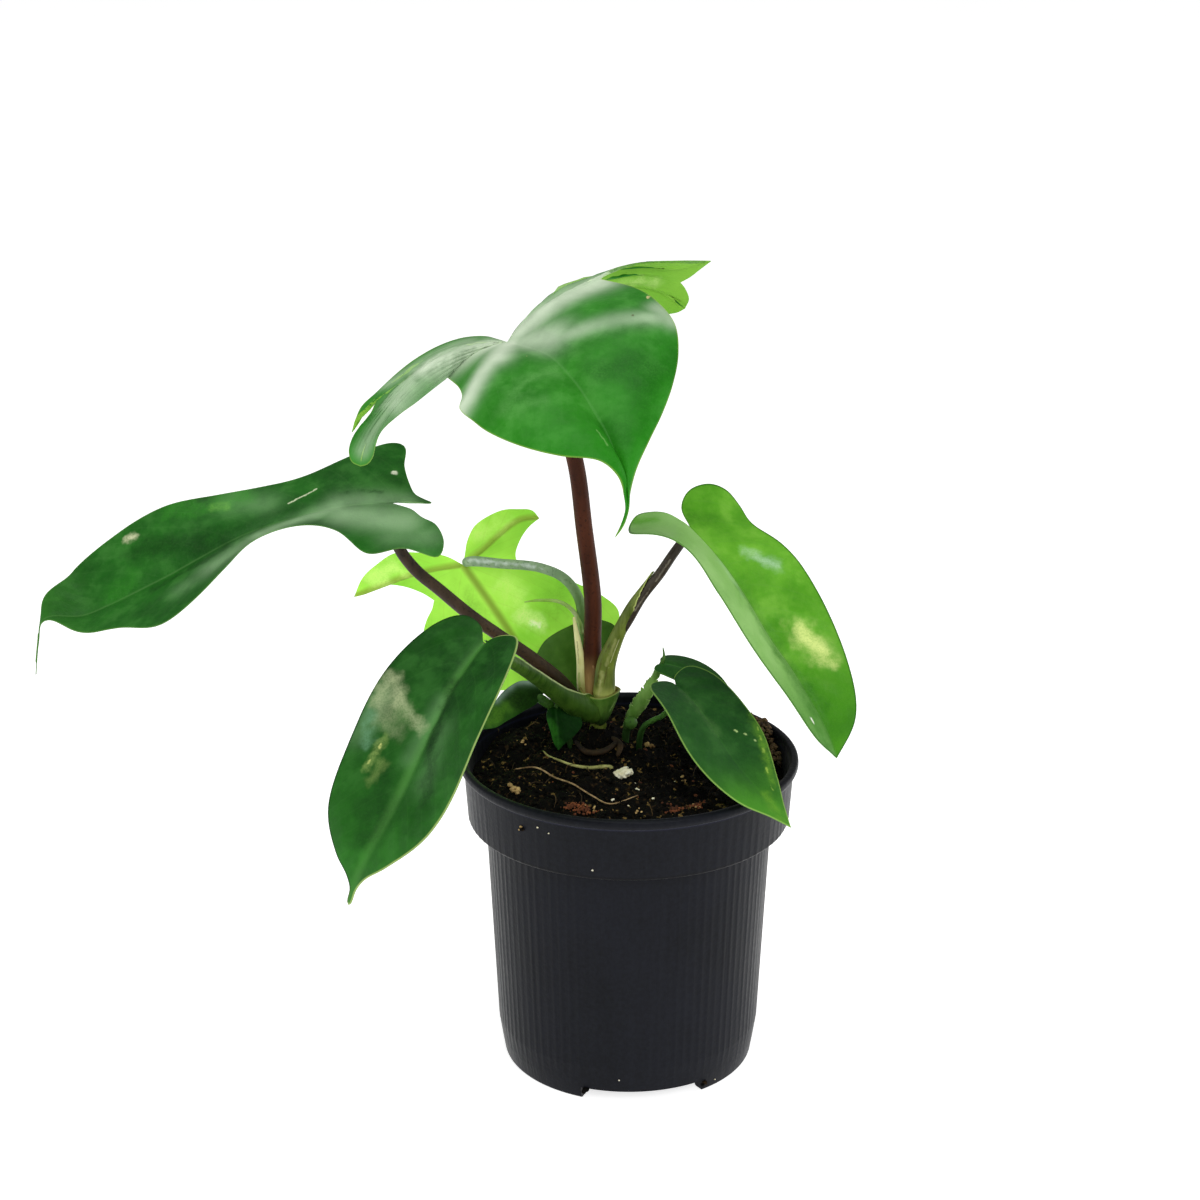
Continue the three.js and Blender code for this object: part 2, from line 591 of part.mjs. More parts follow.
// Stalks: stations on a route are [x, y, z, radius]
const stalkPlans = {
  top_leaf_stalk: {
    leaf: 'top_leaf',
    hub: topHub,
    steps: 16,
    route: [[-10.5, 21, 121, 3.2], [-11.2, 20.5, 131, 3.3], [-11.6, 18, 165, 3.1], [-15.4, 15, 192, 3],
      [-18.8, 11, 218.7, 2.9], [-25, 9, 239, 2.7], [-34.5, 7.5, 252.5, 2.4], [-41.1, 6.2, 260.4, 2.2]],
  },
  left_leaf_stalk: {
    leaf: 'left_leaf',
    hub: leftHub,
    steps: 16,
    route: [[-17, 19, 125, 2.2], [-20, 16.5, 136, 2.3], [-27, 12, 142.5, 2.3], [-45, 2, 156, 2.2],
      [-55, -3, 167, 2.2], [-65, -7, 177.5, 2.1], [-73.5, -9, 186, 2.1], [-79, -10, 195, 2],
      [-82, -9, 208.4, 1.8]],
  },
  right_leaf_stalk: {
    leaf: 'right_leaf',
    hub: rightHub,
    steps: 14,
    route: [[-8, 14.5, 122, 2.1], [-7.4, 14, 131, 2.1], [-1.3, 11.5, 152.4, 2], [3.8, 8, 165, 1.9],
      [10.6, 3, 179.6, 1.9], [16.5, -1, 191, 1.8], [20.4, -3.2, 197.4, 1.7]],
  },
  back_leaf_stalk: {
    leaf: 'back_leaf',
    hub: backHub,
    steps: 20,
    route: [[-13.8, 28, 120, 1.9], [-14, 28.5, 130, 1.9], [-16.3, 31, 145.8, 1.8], [-17.4, 33, 160, 1.8],
      [-22.8, 36, 167, 1.8], [-32, 39, 170, 1.7], [-46.4, 42, 170.3, 1.7], [-56, 43.5, 170.8, 1.7],
      [-59.8, 47.2, 169.2, 1.5]],
  },
  front_right_leaf_stalk: {
    leaf: 'front_right_leaf',
    hub: frontRightHub,
    seat: 1.2,
    steps: 10,
    route: [[4, 9, 108, 1.2], [4.4, 8, 119, 1.2], [8.6, 2, 124.5, 1.1], [13, -5, 130, 1.1],
      [15.5, -10, 138, 1.1], [15.9, -12.9, 144.8, 1]],
  },
};
function stalkRod(name, grow = 0) {
  return rod(stalkPlans[name].route, stalkPlans[name].steps, { grow });
}
const stalks = {};
for (const [name, plan] of Object.entries(stalkPlans)) {
  stalks[name] = largestBody(stalkRod(name).subtract(leafSeat(plan.leaf, plan.hub, plan.seat)));
}

// Crown: the short stem with the sheaths that wrap the stalks, and the channelled stalk at the front left
const crownStem = rod(
  [[-11, 20, 104, 4.2], [-11, 20, 116, 4.8], [-11.5, 19.5, 123, 7.2], [-11.5, 19.5, 128.5, 6.6]],
  6, { sides: 12 },
);
const rightSheath = rod(
  [[-9, 15, 119, 4], [-7.4, 14, 131, 4.1], [-4, 12.8, 142, 3.3], [-0.8, 11.2, 153.5, 2.7]],
  6, { sides: 10 },
);
const rightSheathTip = rod(
  [[-5.5, 12, 138, 1.6], [-3.6, 10.4, 148, 1.6], [0.4, 7, 163, 1.5], [5.2, 2.6, 178, 0.5]],
  6, { sides: 6, flat: 0.4, up: [0, -1, 0.4] },
);
const backSheath = rod(
  [[-15.5, 18, 121, 2], [-16.8, 17.5, 134, 1.6], [-18.2, 17.5, 148, 1.1], [-19.6, 17.5, 158, 0.5]],
  6, { sides: 6, flat: 0.6, up: [0, -1, 0] },
);
const lowLeftStalk = rod(
  [[-11.5, 15.5, 119, 3.2], [-14, 13.5, 127, 4.2], [-19, 9, 133, 3.8], [-26, 0, 140.7, 3],
    [-32.6, -12, 150, 2.5], [-39.2, -28, 159.5, 2.2], [-45, -42, 168, 1.9], [-48, -48.8, 173, 1.7]],
  14, { sides: 10, groove: 0.55 },
);
let crown = joinAll([crownStem, rightSheath, rightSheathTip, backSheath, lowLeftStalk]);
for (const name of ['top_leaf_stalk', 'left_leaf_stalk', 'right_leaf_stalk', 'back_leaf_stalk']) {
  crown = crown.subtract(stalkRod(name, FIT_GAP));
}
crown = largestBody(crown.subtract(leafSeat('low_left_leaf', lowLeftHub)));

// Small leaves grow with their own stalks
const smallRoutes = {
  inner_leaf: [[-16, 33, 106, 1.4], [-16.5, 35, 116, 1.3], [-17, 36, 125.5, 1.1]],
  droop_leaf: [[-20, 12, 106, 1.2], [-21.5, 11.5, 117, 1.1], [-24, 10, 125, 1], [-26, 7.9, 129.5, 0.9]],
  saddle_leaf: [[-22, 19, 106, 1.3], [-23.5, 17.5, 119, 1.2], [-26.5, 14.5, 129, 1],
    [-30.5, 11.4, 133.3, 0.9]],
  behind_right_leaf: [[-4, 15.5, 106, 1.5], [-3.2, 15, 121, 1.7], [2, 9, 132, 2], [8, 4.5, 142, 1.3],
    [12.3, 1.9, 147.8, 0.9]],
};
const smallBlades = {
  inner_leaf: blade(innerLobes, { rows: 12, columns: 2, place: innerPlace }),
  droop_leaf: blade(droopLobes, { rows: 10, columns: 2, place: droopPlace }),
  saddle_leaf: blade(saddleLobes, { rows: 10, columns: 2 }),
  behind_right_leaf: blade(behindRightLobes, { rows: 12, columns: 2, place: behindRightPlace }),
};
const smallLeaves = {};
for (const name of Object.keys(smallRoutes)) {
  smallLeaves[name] = rod(smallRoutes[name], 6, { sides: 6 }).add(smallBlades[name]);
}

// Soil: a filled plug with an uneven top, crumbs and perlite grains
const crownFoot = [-11, 20];
function soilHeight(x, y) {
  const radius = Math.hypot(x, y);
  let height = SOIL_LEVEL + 1.3 * Math.sin(x * 0.21 + 0.6) * Math.cos(y * 0.17 - 0.4);
  height += 0.8 * Math.sin(x * 0.47 - y * 0.39);
  height += 3.6 * Math.exp(-((x - crownFoot[0]) ** 2 + (y - crownFoot[1]) ** 2) / 220);
  height += 5.5 * Math.exp(-((x - 38) ** 2 + (y - 30) ** 2) / 150);
  height -= 6 * Math.exp(-((x + 56) ** 2 + (y - 4) ** 2) / 260);
  height -= 7 * Math.exp(-((x - 56) ** 2 + (y - 2) ** 2) / 200);
  return height - 1.5 * Math.max(0, (radius - 50) / 7);
}
const [[collarTopRadius, collarTop], [collarFootRadius, collarFoot]] = potInside.slice(2, 4);
const wallSlope = (collarTopRadius - collarFootRadius) / (collarTop - collarFoot);
const edgeRadius = (angle) => {
  const height = soilHeight(collarFootRadius * Math.cos(angle), collarFootRadius * Math.sin(angle));
  return collarFootRadius + (height - collarFoot) * wallSlope - EDGE_GAP;
};
const soilPoints = [];
const soilIndex = [];
soilPoints.push(0, 0, soilHeight(0, 0));
for (let i = 1; i <= SOIL_RINGS; i += 1) {
  for (let k = 0; k < SOIL_SPOKES; k += 1) {
    const angle = (2 * Math.PI * k) / SOIL_SPOKES;
    const x = ((edgeRadius(angle) * i) / SOIL_RINGS) * Math.cos(angle);
    const y = ((edgeRadius(angle) * i) / SOIL_RINGS) * Math.sin(angle);
    soilPoints.push(x, y, soilHeight(x, y));
  }
}
// The plug stays clear of the pot's inner wall and floor
const plugRings = [
  [55.1 - FIT_GAP, 93.4], [49.3 - FIT_GAP, 93.2], [48.8 - FIT_GAP, 89.5], [45 - FIT_GAP, 14.5],
  [43.6 - FIT_GAP, FLOOR_HEIGHT + WALL + 2.6], [41.8 - FIT_GAP, FLOOR_HEIGHT + WALL + 0.3],
];
for (const [ring, height] of plugRings) {
  for (let k = 0; k < SOIL_SPOKES; k += 1) {
    const angle = (2 * Math.PI * k) / SOIL_SPOKES;
    soilPoints.push(ring * Math.cos(angle), ring * Math.sin(angle), height);
  }
}
const soilLast = soilPoints.length / 3;
soilPoints.push(0, 0, FLOOR_HEIGHT + WALL + 0.3);
const ringCount = SOIL_RINGS + plugRings.length;
for (let k = 0; k < SOIL_SPOKES; k += 1) {
  const next = (k + 1) % SOIL_SPOKES;
  soilIndex.push(0, 1 + k, 1 + next);
  for (let i = 0; i < ringCount - 1; i += 1) {
    const a = 1 + i * SOIL_SPOKES + k;
    const b = 1 + i * SOIL_SPOKES + next;
    soilIndex.push(a, a + SOIL_SPOKES, b, b, a + SOIL_SPOKES, b + SOIL_SPOKES);
  }
  const base = 1 + (ringCount - 1) * SOIL_SPOKES;
  soilIndex.push(base + k, soilLast, base + next);
}
const soilGeometry = new THREE.BufferGeometry();
soilGeometry.setAttribute('position', new THREE.BufferAttribute(new Float32Array(soilPoints), 3));
soilGeometry.setIndex(soilIndex);
let soil = toSolid(soilGeometry);

function lump(x, y, z, size, random, detail = 0) {
  const geometry = new THREE.IcosahedronGeometry(size, detail);
  geometry.deleteAttribute('normal');
  geometry.deleteAttribute('uv');
  const merged = mergeVertices(geometry, 1e-3);
  const spots = merged.attributes.position;
  for (let i = 0; i < spots.count; i += 1) {
    const scale = 0.75 + 0.5 * random();
    spots.setXYZ(i, spots.getX(i) * scale, spots.getY(i) * scale, spots.getZ(i) * scale * 0.85);
  }
  merged.rotateZ(random() * Math.PI * 2);
  merged.translate(x, y, z);
  return toSolid(merged);
}

// Crumbs keep clear of the stems, of the dry stem and root lying in front, and of the pot
const clearSpots = [[-11, 20, 12], [-16, 33, 5], [-20, 12, 5], [-22, 19, 5], [4, 9, 5], [-4, 15, 6],
  [-3, -14, 5], [-30, -8, 5], [-24, -11, 5], [-17, -13, 5], [-10, -13.5, 5], [-38, -18, 4], [-32, -19, 4],
  [-26, -21, 4], [-21, -27, 4], [-17, -34, 4], [-12, -41, 4], [-5, -44.5, 4], [1, -44, 4], [-50, -8, 8],
  [-28, 0, 6], [-30, 46, 9]];
const crumbRandom = seededRandom(20);
const lumps = [];
let tries = 0;
while (lumps.length < CRUMB_COUNT + GRAIN_COUNT && tries < 4000) {
  tries += 1;
  const grain = lumps.length >= CRUMB_COUNT;
  const radius = 51 * Math.sqrt(crumbRandom());
  const angle = crumbRandom() * Math.PI * 2;
  const x = radius * Math.cos(angle);
  const y = radius * Math.sin(angle);
  const size = grain ? 0.9 + 0.5 * crumbRandom() : 1.1 + 1.5 * crumbRandom() ** 2;
  if (clearSpots.some(([cx, cy, reach]) => Math.hypot(x - cx, y - cy) < reach + size)) continue;
  lumps.push(lump(x, y, soilHeight(x, y) - 0.1 * size, size, crumbRandom));
}
soil = joinAll([soil, ...lumps]);

// Loose pieces lying half sunk in the soil
const perliteRandom = seededRandom(7);
const perlitePlace = [-3.2, -14];
const perliteHeight = soilHeight(...perlitePlace) + 0.5;
const perlite = lump(...perlitePlace, perliteHeight, 2, perliteRandom, 1);
const perliteBed = new THREE.SphereGeometry(2.85, 12, 8);
perliteBed.translate(...perlitePlace, perliteHeight);
const dryStemRoute = [[-29.5, -6], [-25.5, -10], [-19, -12.5], [-12, -13.2], [-7.2, -13.5]];
const rootRoute = [[-39.3, -18], [-34.4, -18.4], [-26.4, -21], [-18.7, -30], [-13.5, -40], [-6.8, -44],
  [2.7, -44]];
const lying = (route, radius, lift) => route.map(([x, y], i) => [
  x, y, soilHeight(x, y) + lift, radius * (i === 0 || i === route.length - 1 ? 0.75 : 1),
]);
const dryStem = rod(lying(dryStemRoute, 0.9, 0.35), 10, { sides: 6 });
const root = rod(lying(rootRoute, 0.55, 0.15), 18, { sides: 6 });
soil = soil.subtract(toSolid(perliteBed));
soil = soil.subtract(rod(lying(dryStemRoute, 0.9, 0.35), 10, { sides: 8, grow: 0.4 }));
soil = soil.subtract(rod(lying(rootRoute, 0.55, 0.15), 18, { sides: 8, grow: 0.4 }));

// Plain holes that the stems stand in
function stemHole(x, y, radius, bottom) {
  const hole = new THREE.CylinderGeometry(radius, radius, 20, 10);
  hole.rotateX(Math.PI / 2);
  hole.translate(x, y, bottom + 10);
  return toSolid(hole);
}
soil = soil.subtract(stemHole(-11, 20, 5.8, 103.7));
soil = soil.subtract(rod(
  [[-11, 20, 113, 5.8], [-11, 20, 116, 5.8], [-11.5, 19.5, 123, 8.4], [-11.5, 19.5, 128.5, 8]],
  4, { sides: 12 },
));
for (const name of Object.keys(smallRoutes)) {
  soil = soil.subtract(rod(
    [[...smallRoutes[name][0].slice(0, 2), 105.6, smallRoutes[name][0][3]], ...smallRoutes[name].slice(0, 3)],
    4, { sides: 8, grow: 0.5 },
  ));
}
soil = soil.subtract(rod(
  [[4, 9, 107.6, 1.2], ...stalkPlans.front_right_leaf_stalk.route.slice(0, 3)], 4, { sides: 8, grow: 0.5 },
));
soil = largestBody(soil);

// Colours and finish
const finishes = {
  pot: ['#24262c', 0.45],
  soil: ['#2a1d14', 0.95],
  perlite_lump: ['#e9e6dc', 0.9],
  dry_stem: ['#a59a63', 0.8],
  root: ['#9a8468', 0.85],
  crown: ['#5f8a34', 0.5],
  top_leaf_stalk: ['#5c2b22', 0.5],
  left_leaf_stalk: ['#3d2a20', 0.55],
  right_leaf_stalk: ['#2d2620', 0.5],
  back_leaf_stalk: ['#8fa58c', 0.5],
  front_right_leaf_stalk: ['#5d8c3a', 0.55],
  top_leaf: ['#3a7d3a', 0.4],
  left_leaf: ['#24562a', 0.4],
  low_left_leaf: ['#235a26', 0.4],
  right_leaf: ['#4b8f31', 0.4],
  front_right_leaf: ['#22532a', 0.42],
  back_leaf: ['#93cf33', 0.45],
  inner_leaf: ['#2c6a26', 0.45],
  droop_leaf: ['#2a6a24', 0.45],
  saddle_leaf: ['#2e6b2a', 0.45],
  behind_right_leaf: ['#2f6d27', 0.45],
};

const solids = {
  pot: potSolid,
  soil,
  perlite_lump: perlite,
  dry_stem: dryStem,
  root,
  crown,
  ...stalks,
  ...blades,
  ...smallLeaves,
};

const plant = new THREE.Group();
plant.name = 'potted_philodendron';
for (const [name, solid] of Object.entries(solids)) {
  const [colour, roughness] = finishes[name];
  const material = new THREE.MeshStandardMaterial({ color: colour, roughness, metalness: 0 });
  const mesh = new THREE.Mesh(toGeometry(solid), material);
  mesh.name = name;
  plant.add(mesh);
}

export default plant;
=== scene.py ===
import math

import bmesh
import bpy
import numpy as np
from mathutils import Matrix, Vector, noise


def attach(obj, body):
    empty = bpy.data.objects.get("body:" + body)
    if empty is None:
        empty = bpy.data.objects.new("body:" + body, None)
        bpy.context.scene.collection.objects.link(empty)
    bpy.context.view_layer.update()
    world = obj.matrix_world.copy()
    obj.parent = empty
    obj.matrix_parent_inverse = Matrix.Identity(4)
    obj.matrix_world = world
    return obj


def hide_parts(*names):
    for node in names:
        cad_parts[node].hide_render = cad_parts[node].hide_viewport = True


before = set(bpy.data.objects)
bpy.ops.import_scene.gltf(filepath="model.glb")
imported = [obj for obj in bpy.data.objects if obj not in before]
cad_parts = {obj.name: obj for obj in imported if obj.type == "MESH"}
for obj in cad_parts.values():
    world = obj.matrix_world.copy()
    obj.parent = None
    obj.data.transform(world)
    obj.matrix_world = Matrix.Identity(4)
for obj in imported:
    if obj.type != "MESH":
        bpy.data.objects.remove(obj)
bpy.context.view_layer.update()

# Potted philodendron. Lengths here are millimetres, +Z up, front at -Y; meshes are made in metres.
mm = 0.001


# Camera and light

shot = {
    "place": (-10.16, -849.95, 468.16),
    "pitch": 19.24,  # degrees below level
    "lens": 78.0,
    "sensor": 36.0,
}

studio = {
    "sky": (1.0, 1.0, 1.0),
    "skyPower": 0.3,
    "floorColour": (0.8, 0.8, 0.8),
    "floorCloud": (0.82, 0.82, 0.82),
    "floorGlow": 0.75,
    "floorSize": 9.0,  # metres
    # name: place mm, aim mm, size m, watts, colour
    "lamps": {
        "overheadLamp": ((-150, -150, 1150), (-20, 0, 150), 0.9, 5.5, (1.0, 0.99, 0.97)),
        "frontLamp": ((350, -1100, 900), (0, 0, 130), 0.6, 6.5, (1.0, 1.0, 1.0)),
        "leftLamp": ((-1000, -100, 420), (0, 0, 140), 0.8, 2.2, (0.98, 0.99, 1.0)),
        "rightLamp": ((1000, 50, 420), (0, 0, 140), 0.8, 2.6, (0.98, 0.99, 1.0)),
    },
}


def makeCamera():
    data = bpy.data.cameras.new("photoCamera")
    data.sensor_width = shot["sensor"]
    data.lens = shot["lens"]
    data.clip_start = 0.05
    camera = bpy.data.objects.new("photoCamera", data)
    camera.location = Vector(shot["place"]) * mm
    camera.rotation_euler = (math.radians(90 - shot["pitch"]), 0, 0)
    bpy.context.scene.collection.objects.link(camera)
    bpy.context.scene.camera = camera


def makeStudio():
    scene = bpy.context.scene
    scene.view_settings.view_transform = "Standard"
    world = scene.world or bpy.data.worlds.new("studioSky")
    scene.world = world
    world.use_nodes = True
    sky = world.node_tree.nodes["Background"]
    sky.inputs["Color"].default_value = (*studio["sky"], 1)
    sky.inputs["Strength"].default_value = studio["skyPower"]
    for name, (place, aim, size, watts, colour) in studio["lamps"].items():
        data = bpy.data.lights.new(name, "AREA")
        data.shape = "DISK"
        data.size = size
        data.energy = watts
        data.color = colour
        lamp = bpy.data.objects.new(name, data)
        lamp.location = Vector(place) * mm
        lamp.rotation_euler = (Vector(aim) - Vector(place)).to_track_quat("-Z", "Y").to_euler()
        scene.collection.objects.link(lamp)


makeCamera()
makeStudio()
print("camera and light ready")


# Shader and geometry node helpers

def addNode(tree, kind, inputs=None, **settings):
    made = tree.nodes.new(kind)
    for key, value in settings.items():
        setattr(made, key, value)
    for key, value in (inputs or {}).items():
        if isinstance(value, bpy.types.NodeSocket):
            tree.links.new(value, made.inputs[key])
        else:
            made.inputs[key].default_value = value
    return made


def sum2(tree, a, b):
    return addNode(tree, "ShaderNodeMath", {0: a, 1: b}, operation="ADD").outputs[0]


def times(tree, a, b):
    return addNode(tree, "ShaderNodeMath", {0: a, 1: b}, operation="MULTIPLY").outputs[0]


def maths(tree, operation, a, b=0.0, c=0.0):
    return addNode(tree, "ShaderNodeMath", {0: a, 1: b, 2: c}, operation=operation).outputs[0]


def ease(tree, value, low, high, start=0.0, end=1.0):  # smooth step from start to end
    made = addNode(
        tree, "ShaderNodeMapRange",
        {"Value": value, "From Min": low, "From Max": high, "To Min": start, "To Max": end},
        interpolation_type="SMOOTHSTEP",
    )
    return made.outputs["Result"]


def mixed(tree, share, a, b):  # colours
    made = addNode(tree, "ShaderNodeMix", data_type="RGBA")
    made.clamp_factor = True
    for socket, value in ((made.inputs[0], share), (made.inputs[6], a), (made.inputs[7], b)):
        if isinstance(value, bpy.types.NodeSocket):
            tree.links.new(value, socket)
        elif isinstance(value, tuple):
            socket.default_value = (*value[:3], 1)
        else:
            socket.default_value = value
    return made.outputs[2]


def vectorMaths(tree, operation, a, b=None, scale=None):
    inputs = {0: a}
    if b is not None:
        inputs[1] = b
    if scale is not None:
        inputs["Scale"] = scale
    made = addNode(tree, "ShaderNodeVectorMath", inputs, operation=operation)
    return made.outputs["Value" if operation in ("LENGTH", "DOT_PRODUCT") else "Vector"]


def grain(tree, scale, detail=3.0, roughness=0.55, stretch=None):  # noise from 0 to 1
    vector = addNode(tree, "ShaderNodeTexCoord").outputs["Object"]
    if stretch is not None:
        vector = vectorMaths(tree, "MULTIPLY", vector, stretch)
    made = addNode(
        tree, "ShaderNodeTexNoise",
        {"Vector": vector, "Scale": scale, "Detail": detail, "Roughness": roughness},
    )
    return ease(tree, made.outputs["Fac"], 0.25, 0.75)


strokePlan = {
    "driftScale": 1100,  # noise scale of a mark whose radius is near nothing
    "driftReach": 1.9,  # how far the noise moves a mark's margin, in radii
    "thinBelow": 1.2,  # a mark narrower than this keeps a solid core
    "core": 0.25,
}


def stroke(tree, start, end, radius, power):  # soft spot or line between two places, millimetres
    a = np.array(start, float) * mm
    line = np.array(end, float) * mm - a + 1e-6
    place = addNode(tree, "ShaderNodeTexCoord").outputs["Object"]
    drift = addNode(tree, "ShaderNodeTexNoise", {
        "Vector": place, "Scale": strokePlan["driftScale"] / (radius + 1), "Detail": 4.0})
    drift = vectorMaths(tree, "SUBTRACT", drift.outputs["Color"], (0.5, 0.5, 0.5))
    drift = vectorMaths(tree, "SCALE", drift, scale=radius * strokePlan["driftReach"] * mm)
    place = vectorMaths(tree, "ADD", place, drift)
    gone = vectorMaths(tree, "SUBTRACT", place, tuple(a))
    share = vectorMaths(tree, "DOT_PRODUCT", gone, tuple(line / line.dot(line)))
    share = maths(tree, "MINIMUM", maths(tree, "MAXIMUM", share, 0.0), 1.0)
    nearest = vectorMaths(tree, "SCALE", tuple(line), scale=share)
    far = vectorMaths(tree, "LENGTH", vectorMaths(tree, "SUBTRACT", gone, nearest))
    core = strokePlan["core"] if radius < strokePlan["thinBelow"] else 0.0
    return ease(tree, far, radius * core * mm, radius * mm, power, 0.0)


def painted(tree, skin, marks, veil):  # lays marks, each a colour and its strokes, on a colour
    for colour, lines in marks:
        for line in lines:
            skin = mixed(tree, times(tree, stroke(tree, *line), veil), skin, colour)
    return skin


def marked(tree, name):  # a number kept on the mesh's points
    return addNode(tree, "ShaderNodeAttribute", attribute_name=name).outputs["Fac"]


def newFinish(name, roughness, specular):
    finish = bpy.data.materials.new(name)
    finish.use_nodes = True
    tree = finish.node_tree
    shader = tree.nodes["Principled BSDF"]
    shader.inputs["Roughness"].default_value = roughness
    shader.inputs["Specular IOR Level"].default_value = specular
    return finish, tree, shader


def bumped(tree, shader, height, distance, strength=1.0):
    made = addNode(
        tree, "ShaderNodeBump", {"Height": height, "Distance": distance, "Strength": strength})
    tree.links.new(made.outputs["Normal"], shader.inputs["Normal"])


def tint(red, green, blue):  # screen colour, 0 to 255, to the shader's own
    return tuple(
        (v / 255 / 12.92) if v < 10.3 else ((v / 255 + 0.055) / 1.055) ** 2.4
        for v in (red, green, blue))


# Mesh helpers

fineSteps = 200  # of the fine line on which a station's place along a path is looked up


def newPiece(name, points, faces, marks=None, sharp=None):
    mesh = bpy.data.meshes.new(name)
    mesh.from_pydata((np.asarray(points, float) * mm).tolist(), [], [tuple(f) for f in faces])
    mesh.update()
    mesh.shade_smooth()
    for label, values in (marks or {}).items():
        layer = mesh.attributes.new(label, "FLOAT", "POINT")
        layer.data.foreach_set("value", np.asarray(values, np.float32))
    if sharp:
        wanted = {frozenset(pair) for pair in sharp}
        flags = [frozenset(edge.vertices) in wanted for edge in mesh.edges]
        layer = mesh.attributes.new("sharp_edge", "BOOLEAN", "EDGE")
        layer.data.foreach_set("value", flags)
    piece = bpy.data.objects.new(name, mesh)
    bpy.context.scene.collection.objects.link(piece)
    return piece


def settle(piece, finish, slotName, *nodes):  # finish, ride and stand-in of a ready piece
    piece.data.materials.clear()
    piece.data.materials.append(finish)
    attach(piece, "root")
    if nodes:
        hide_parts(*nodes)
    return piece


def smoothLine(points, count):  # centripetal curve through the points, evenly stepped
    given = np.asarray(points, float)
    ends = np.vstack([2 * given[0] - given[1], given, 2 * given[-1] - given[-2]])
    dense = [given[:1]]
    t = np.linspace(0, 1, 33)[1:, None]
    for i in range(len(given) - 1):
        p0, p1, p2, p3 = ends[i:i + 4]
        d0, d1, d2 = (
            max(float(np.linalg.norm(b - a)), 1e-6) ** 0.5 for a, b in ((p0, p1), (p1, p2), (p2, p3)))
        m1 = ((p1 - p0) / d0 - (p2 - p0) / (d0 + d1) + (p2 - p1) / d1) * d1
        m2 = ((p2 - p1) / d1 - (p3 - p1) / (d1 + d2) + (p3 - p2) / d2) * d1
        dense.append(
            (2 * t**3 - 3 * t**2 + 1) * p1 + (t**3 - 2 * t**2 + t) * m1
            + (3 * t**2 - 2 * t**3) * p2 + (t**3 - t**2) * m2)
    dense = np.vstack(dense)
    gone = travelled(dense)
    wanted = np.linspace(0, gone[-1], count + 1)
    return np.stack([np.interp(wanted, gone, dense[:, c]) for c in range(given.shape[1])], 1)


def lineLength(points):
    dense = smoothLine(points, 60)
    return float(np.linalg.norm(np.diff(dense, axis=0), axis=1).sum())


def unit(v):
    return v / np.maximum(np.linalg.norm(v, axis=-1, keepdims=True), 1e-9)


def travelled(path):  # distance gone at each point
    return np.concatenate([[0], np.cumsum(np.linalg.norm(np.diff(path, axis=0), axis=1))])


def walked(table, pitch, fewest):  # even path through stations, and their other columns along it
    steps = max(fewest, int(round(lineLength(table[:, :3]) / pitch)))
    path = smoothLine(table[:, :3], steps)
    fine = smoothLine(table[:, :3], fineSteps)
    known = [np.argmin(np.linalg.norm(fine - row[:3], axis=1)) / fineSteps for row in table]
    share = np.linspace(0, 1, steps + 1)
    return path, [np.interp(share, known, table[:, c]) for c in range(3, table.shape[1])]


def tubeFaces(rows, count):  # rings of points in turn, then the middle points of both ends
    faces = []
    for i in range(rows - 1):
        for k in range(count):
            after = (k + 1) % count
            faces.append((i * count + k, i * count + after, (i + 1) * count + after, (i + 1) * count + k))
    top = (rows - 1) * count
    for k in range(count):
        after = (k + 1) % count
        faces.append((rows * count, after, k))
        faces.append((rows * count + 1, top + k, top + after))
    return faces


def signedVolume(points, faces):
    total = 0.0
    for corners in (3, 4):
        group = np.array([f for f in faces if len(f) == corners])
        if len(group) == 0:
            continue
        a = points[group[:, 0]]
        for k in range(1, corners - 1):
            total += np.einsum("ij,ij->i", a, np.cross(points[group[:, k]], points[group[:, k + 1]])).sum()
    return total / 6


def outwards(points, faces):  # faces turned so that they look out of the solid
    return [tuple(reversed(f)) for f in faces] if signedVolume(points, faces) < 0 else faces


def blobNoise(points, size, seed):  # smooth noise from -1 to 1 at each point
    shift = Vector((seed, 3.1 * seed, -seed))
    return np.array([noise.noise(Vector(p) / size + shift) for p in points])


# Stalks: rods along a route of [x, y, z, radius]

def rodMesh(route, sides=24, pitch=1.4, roundEnds=True):
    path, (radii,) = walked(np.array(route, float), pitch, 6)
    gone = travelled(path)
    tangents = unit(np.gradient(path, axis=0))
    if roundEnds:
        left = np.minimum(gone, gone[-1] - gone)
        radii = radii * np.sqrt(np.clip(1 - (1 - np.clip(left / radii, 0, 1)) ** 2, 0.12, 1))
    side = np.cross(tangents[0], np.array([0, 0, 1.0]))
    if np.linalg.norm(side) < 0.2:  # a rod that starts upright
        side = np.array([1.0, 0, 0])
    rings, along = [], []
    angles = 2 * np.pi * (np.arange(sides) + 0.5) / sides
    wide, high = np.cos(angles), np.sin(angles)
    for i in range(len(path)):
        side = unit(side - tangents[i] * side.dot(tangents[i]))
        over = np.cross(side, tangents[i])
        rings.append(path[i] + radii[i] * (wide[:, None] * side + high[:, None] * over))
        along.append(np.full(sides, gone[i]))
    points = np.vstack(rings + [path[:1], path[-1:]])
    return points, tubeFaces(len(path), sides), {"along": np.concatenate(along + [[0.0], [gone[-1]]])}


def joined(parts):  # several meshes as one list of points, faces and marks
    points, faces, marks, base = [], [], {}, 0
    labels = {label for part in parts for label in part[2]}
    for partPoints, partFaces, partMarks in parts:
        points.append(partPoints)
        faces.extend(tuple(i + base for i in f) for f in partFaces)
        for label in labels:
            marks.setdefault(label, []).append(
                np.asarray(partMarks.get(label, np.zeros(len(partPoints))), float))
        base += len(partPoints)
    return np.vstack(points), faces, {label: np.concatenate(v) for label, v in marks.items()}


# Leaf blades

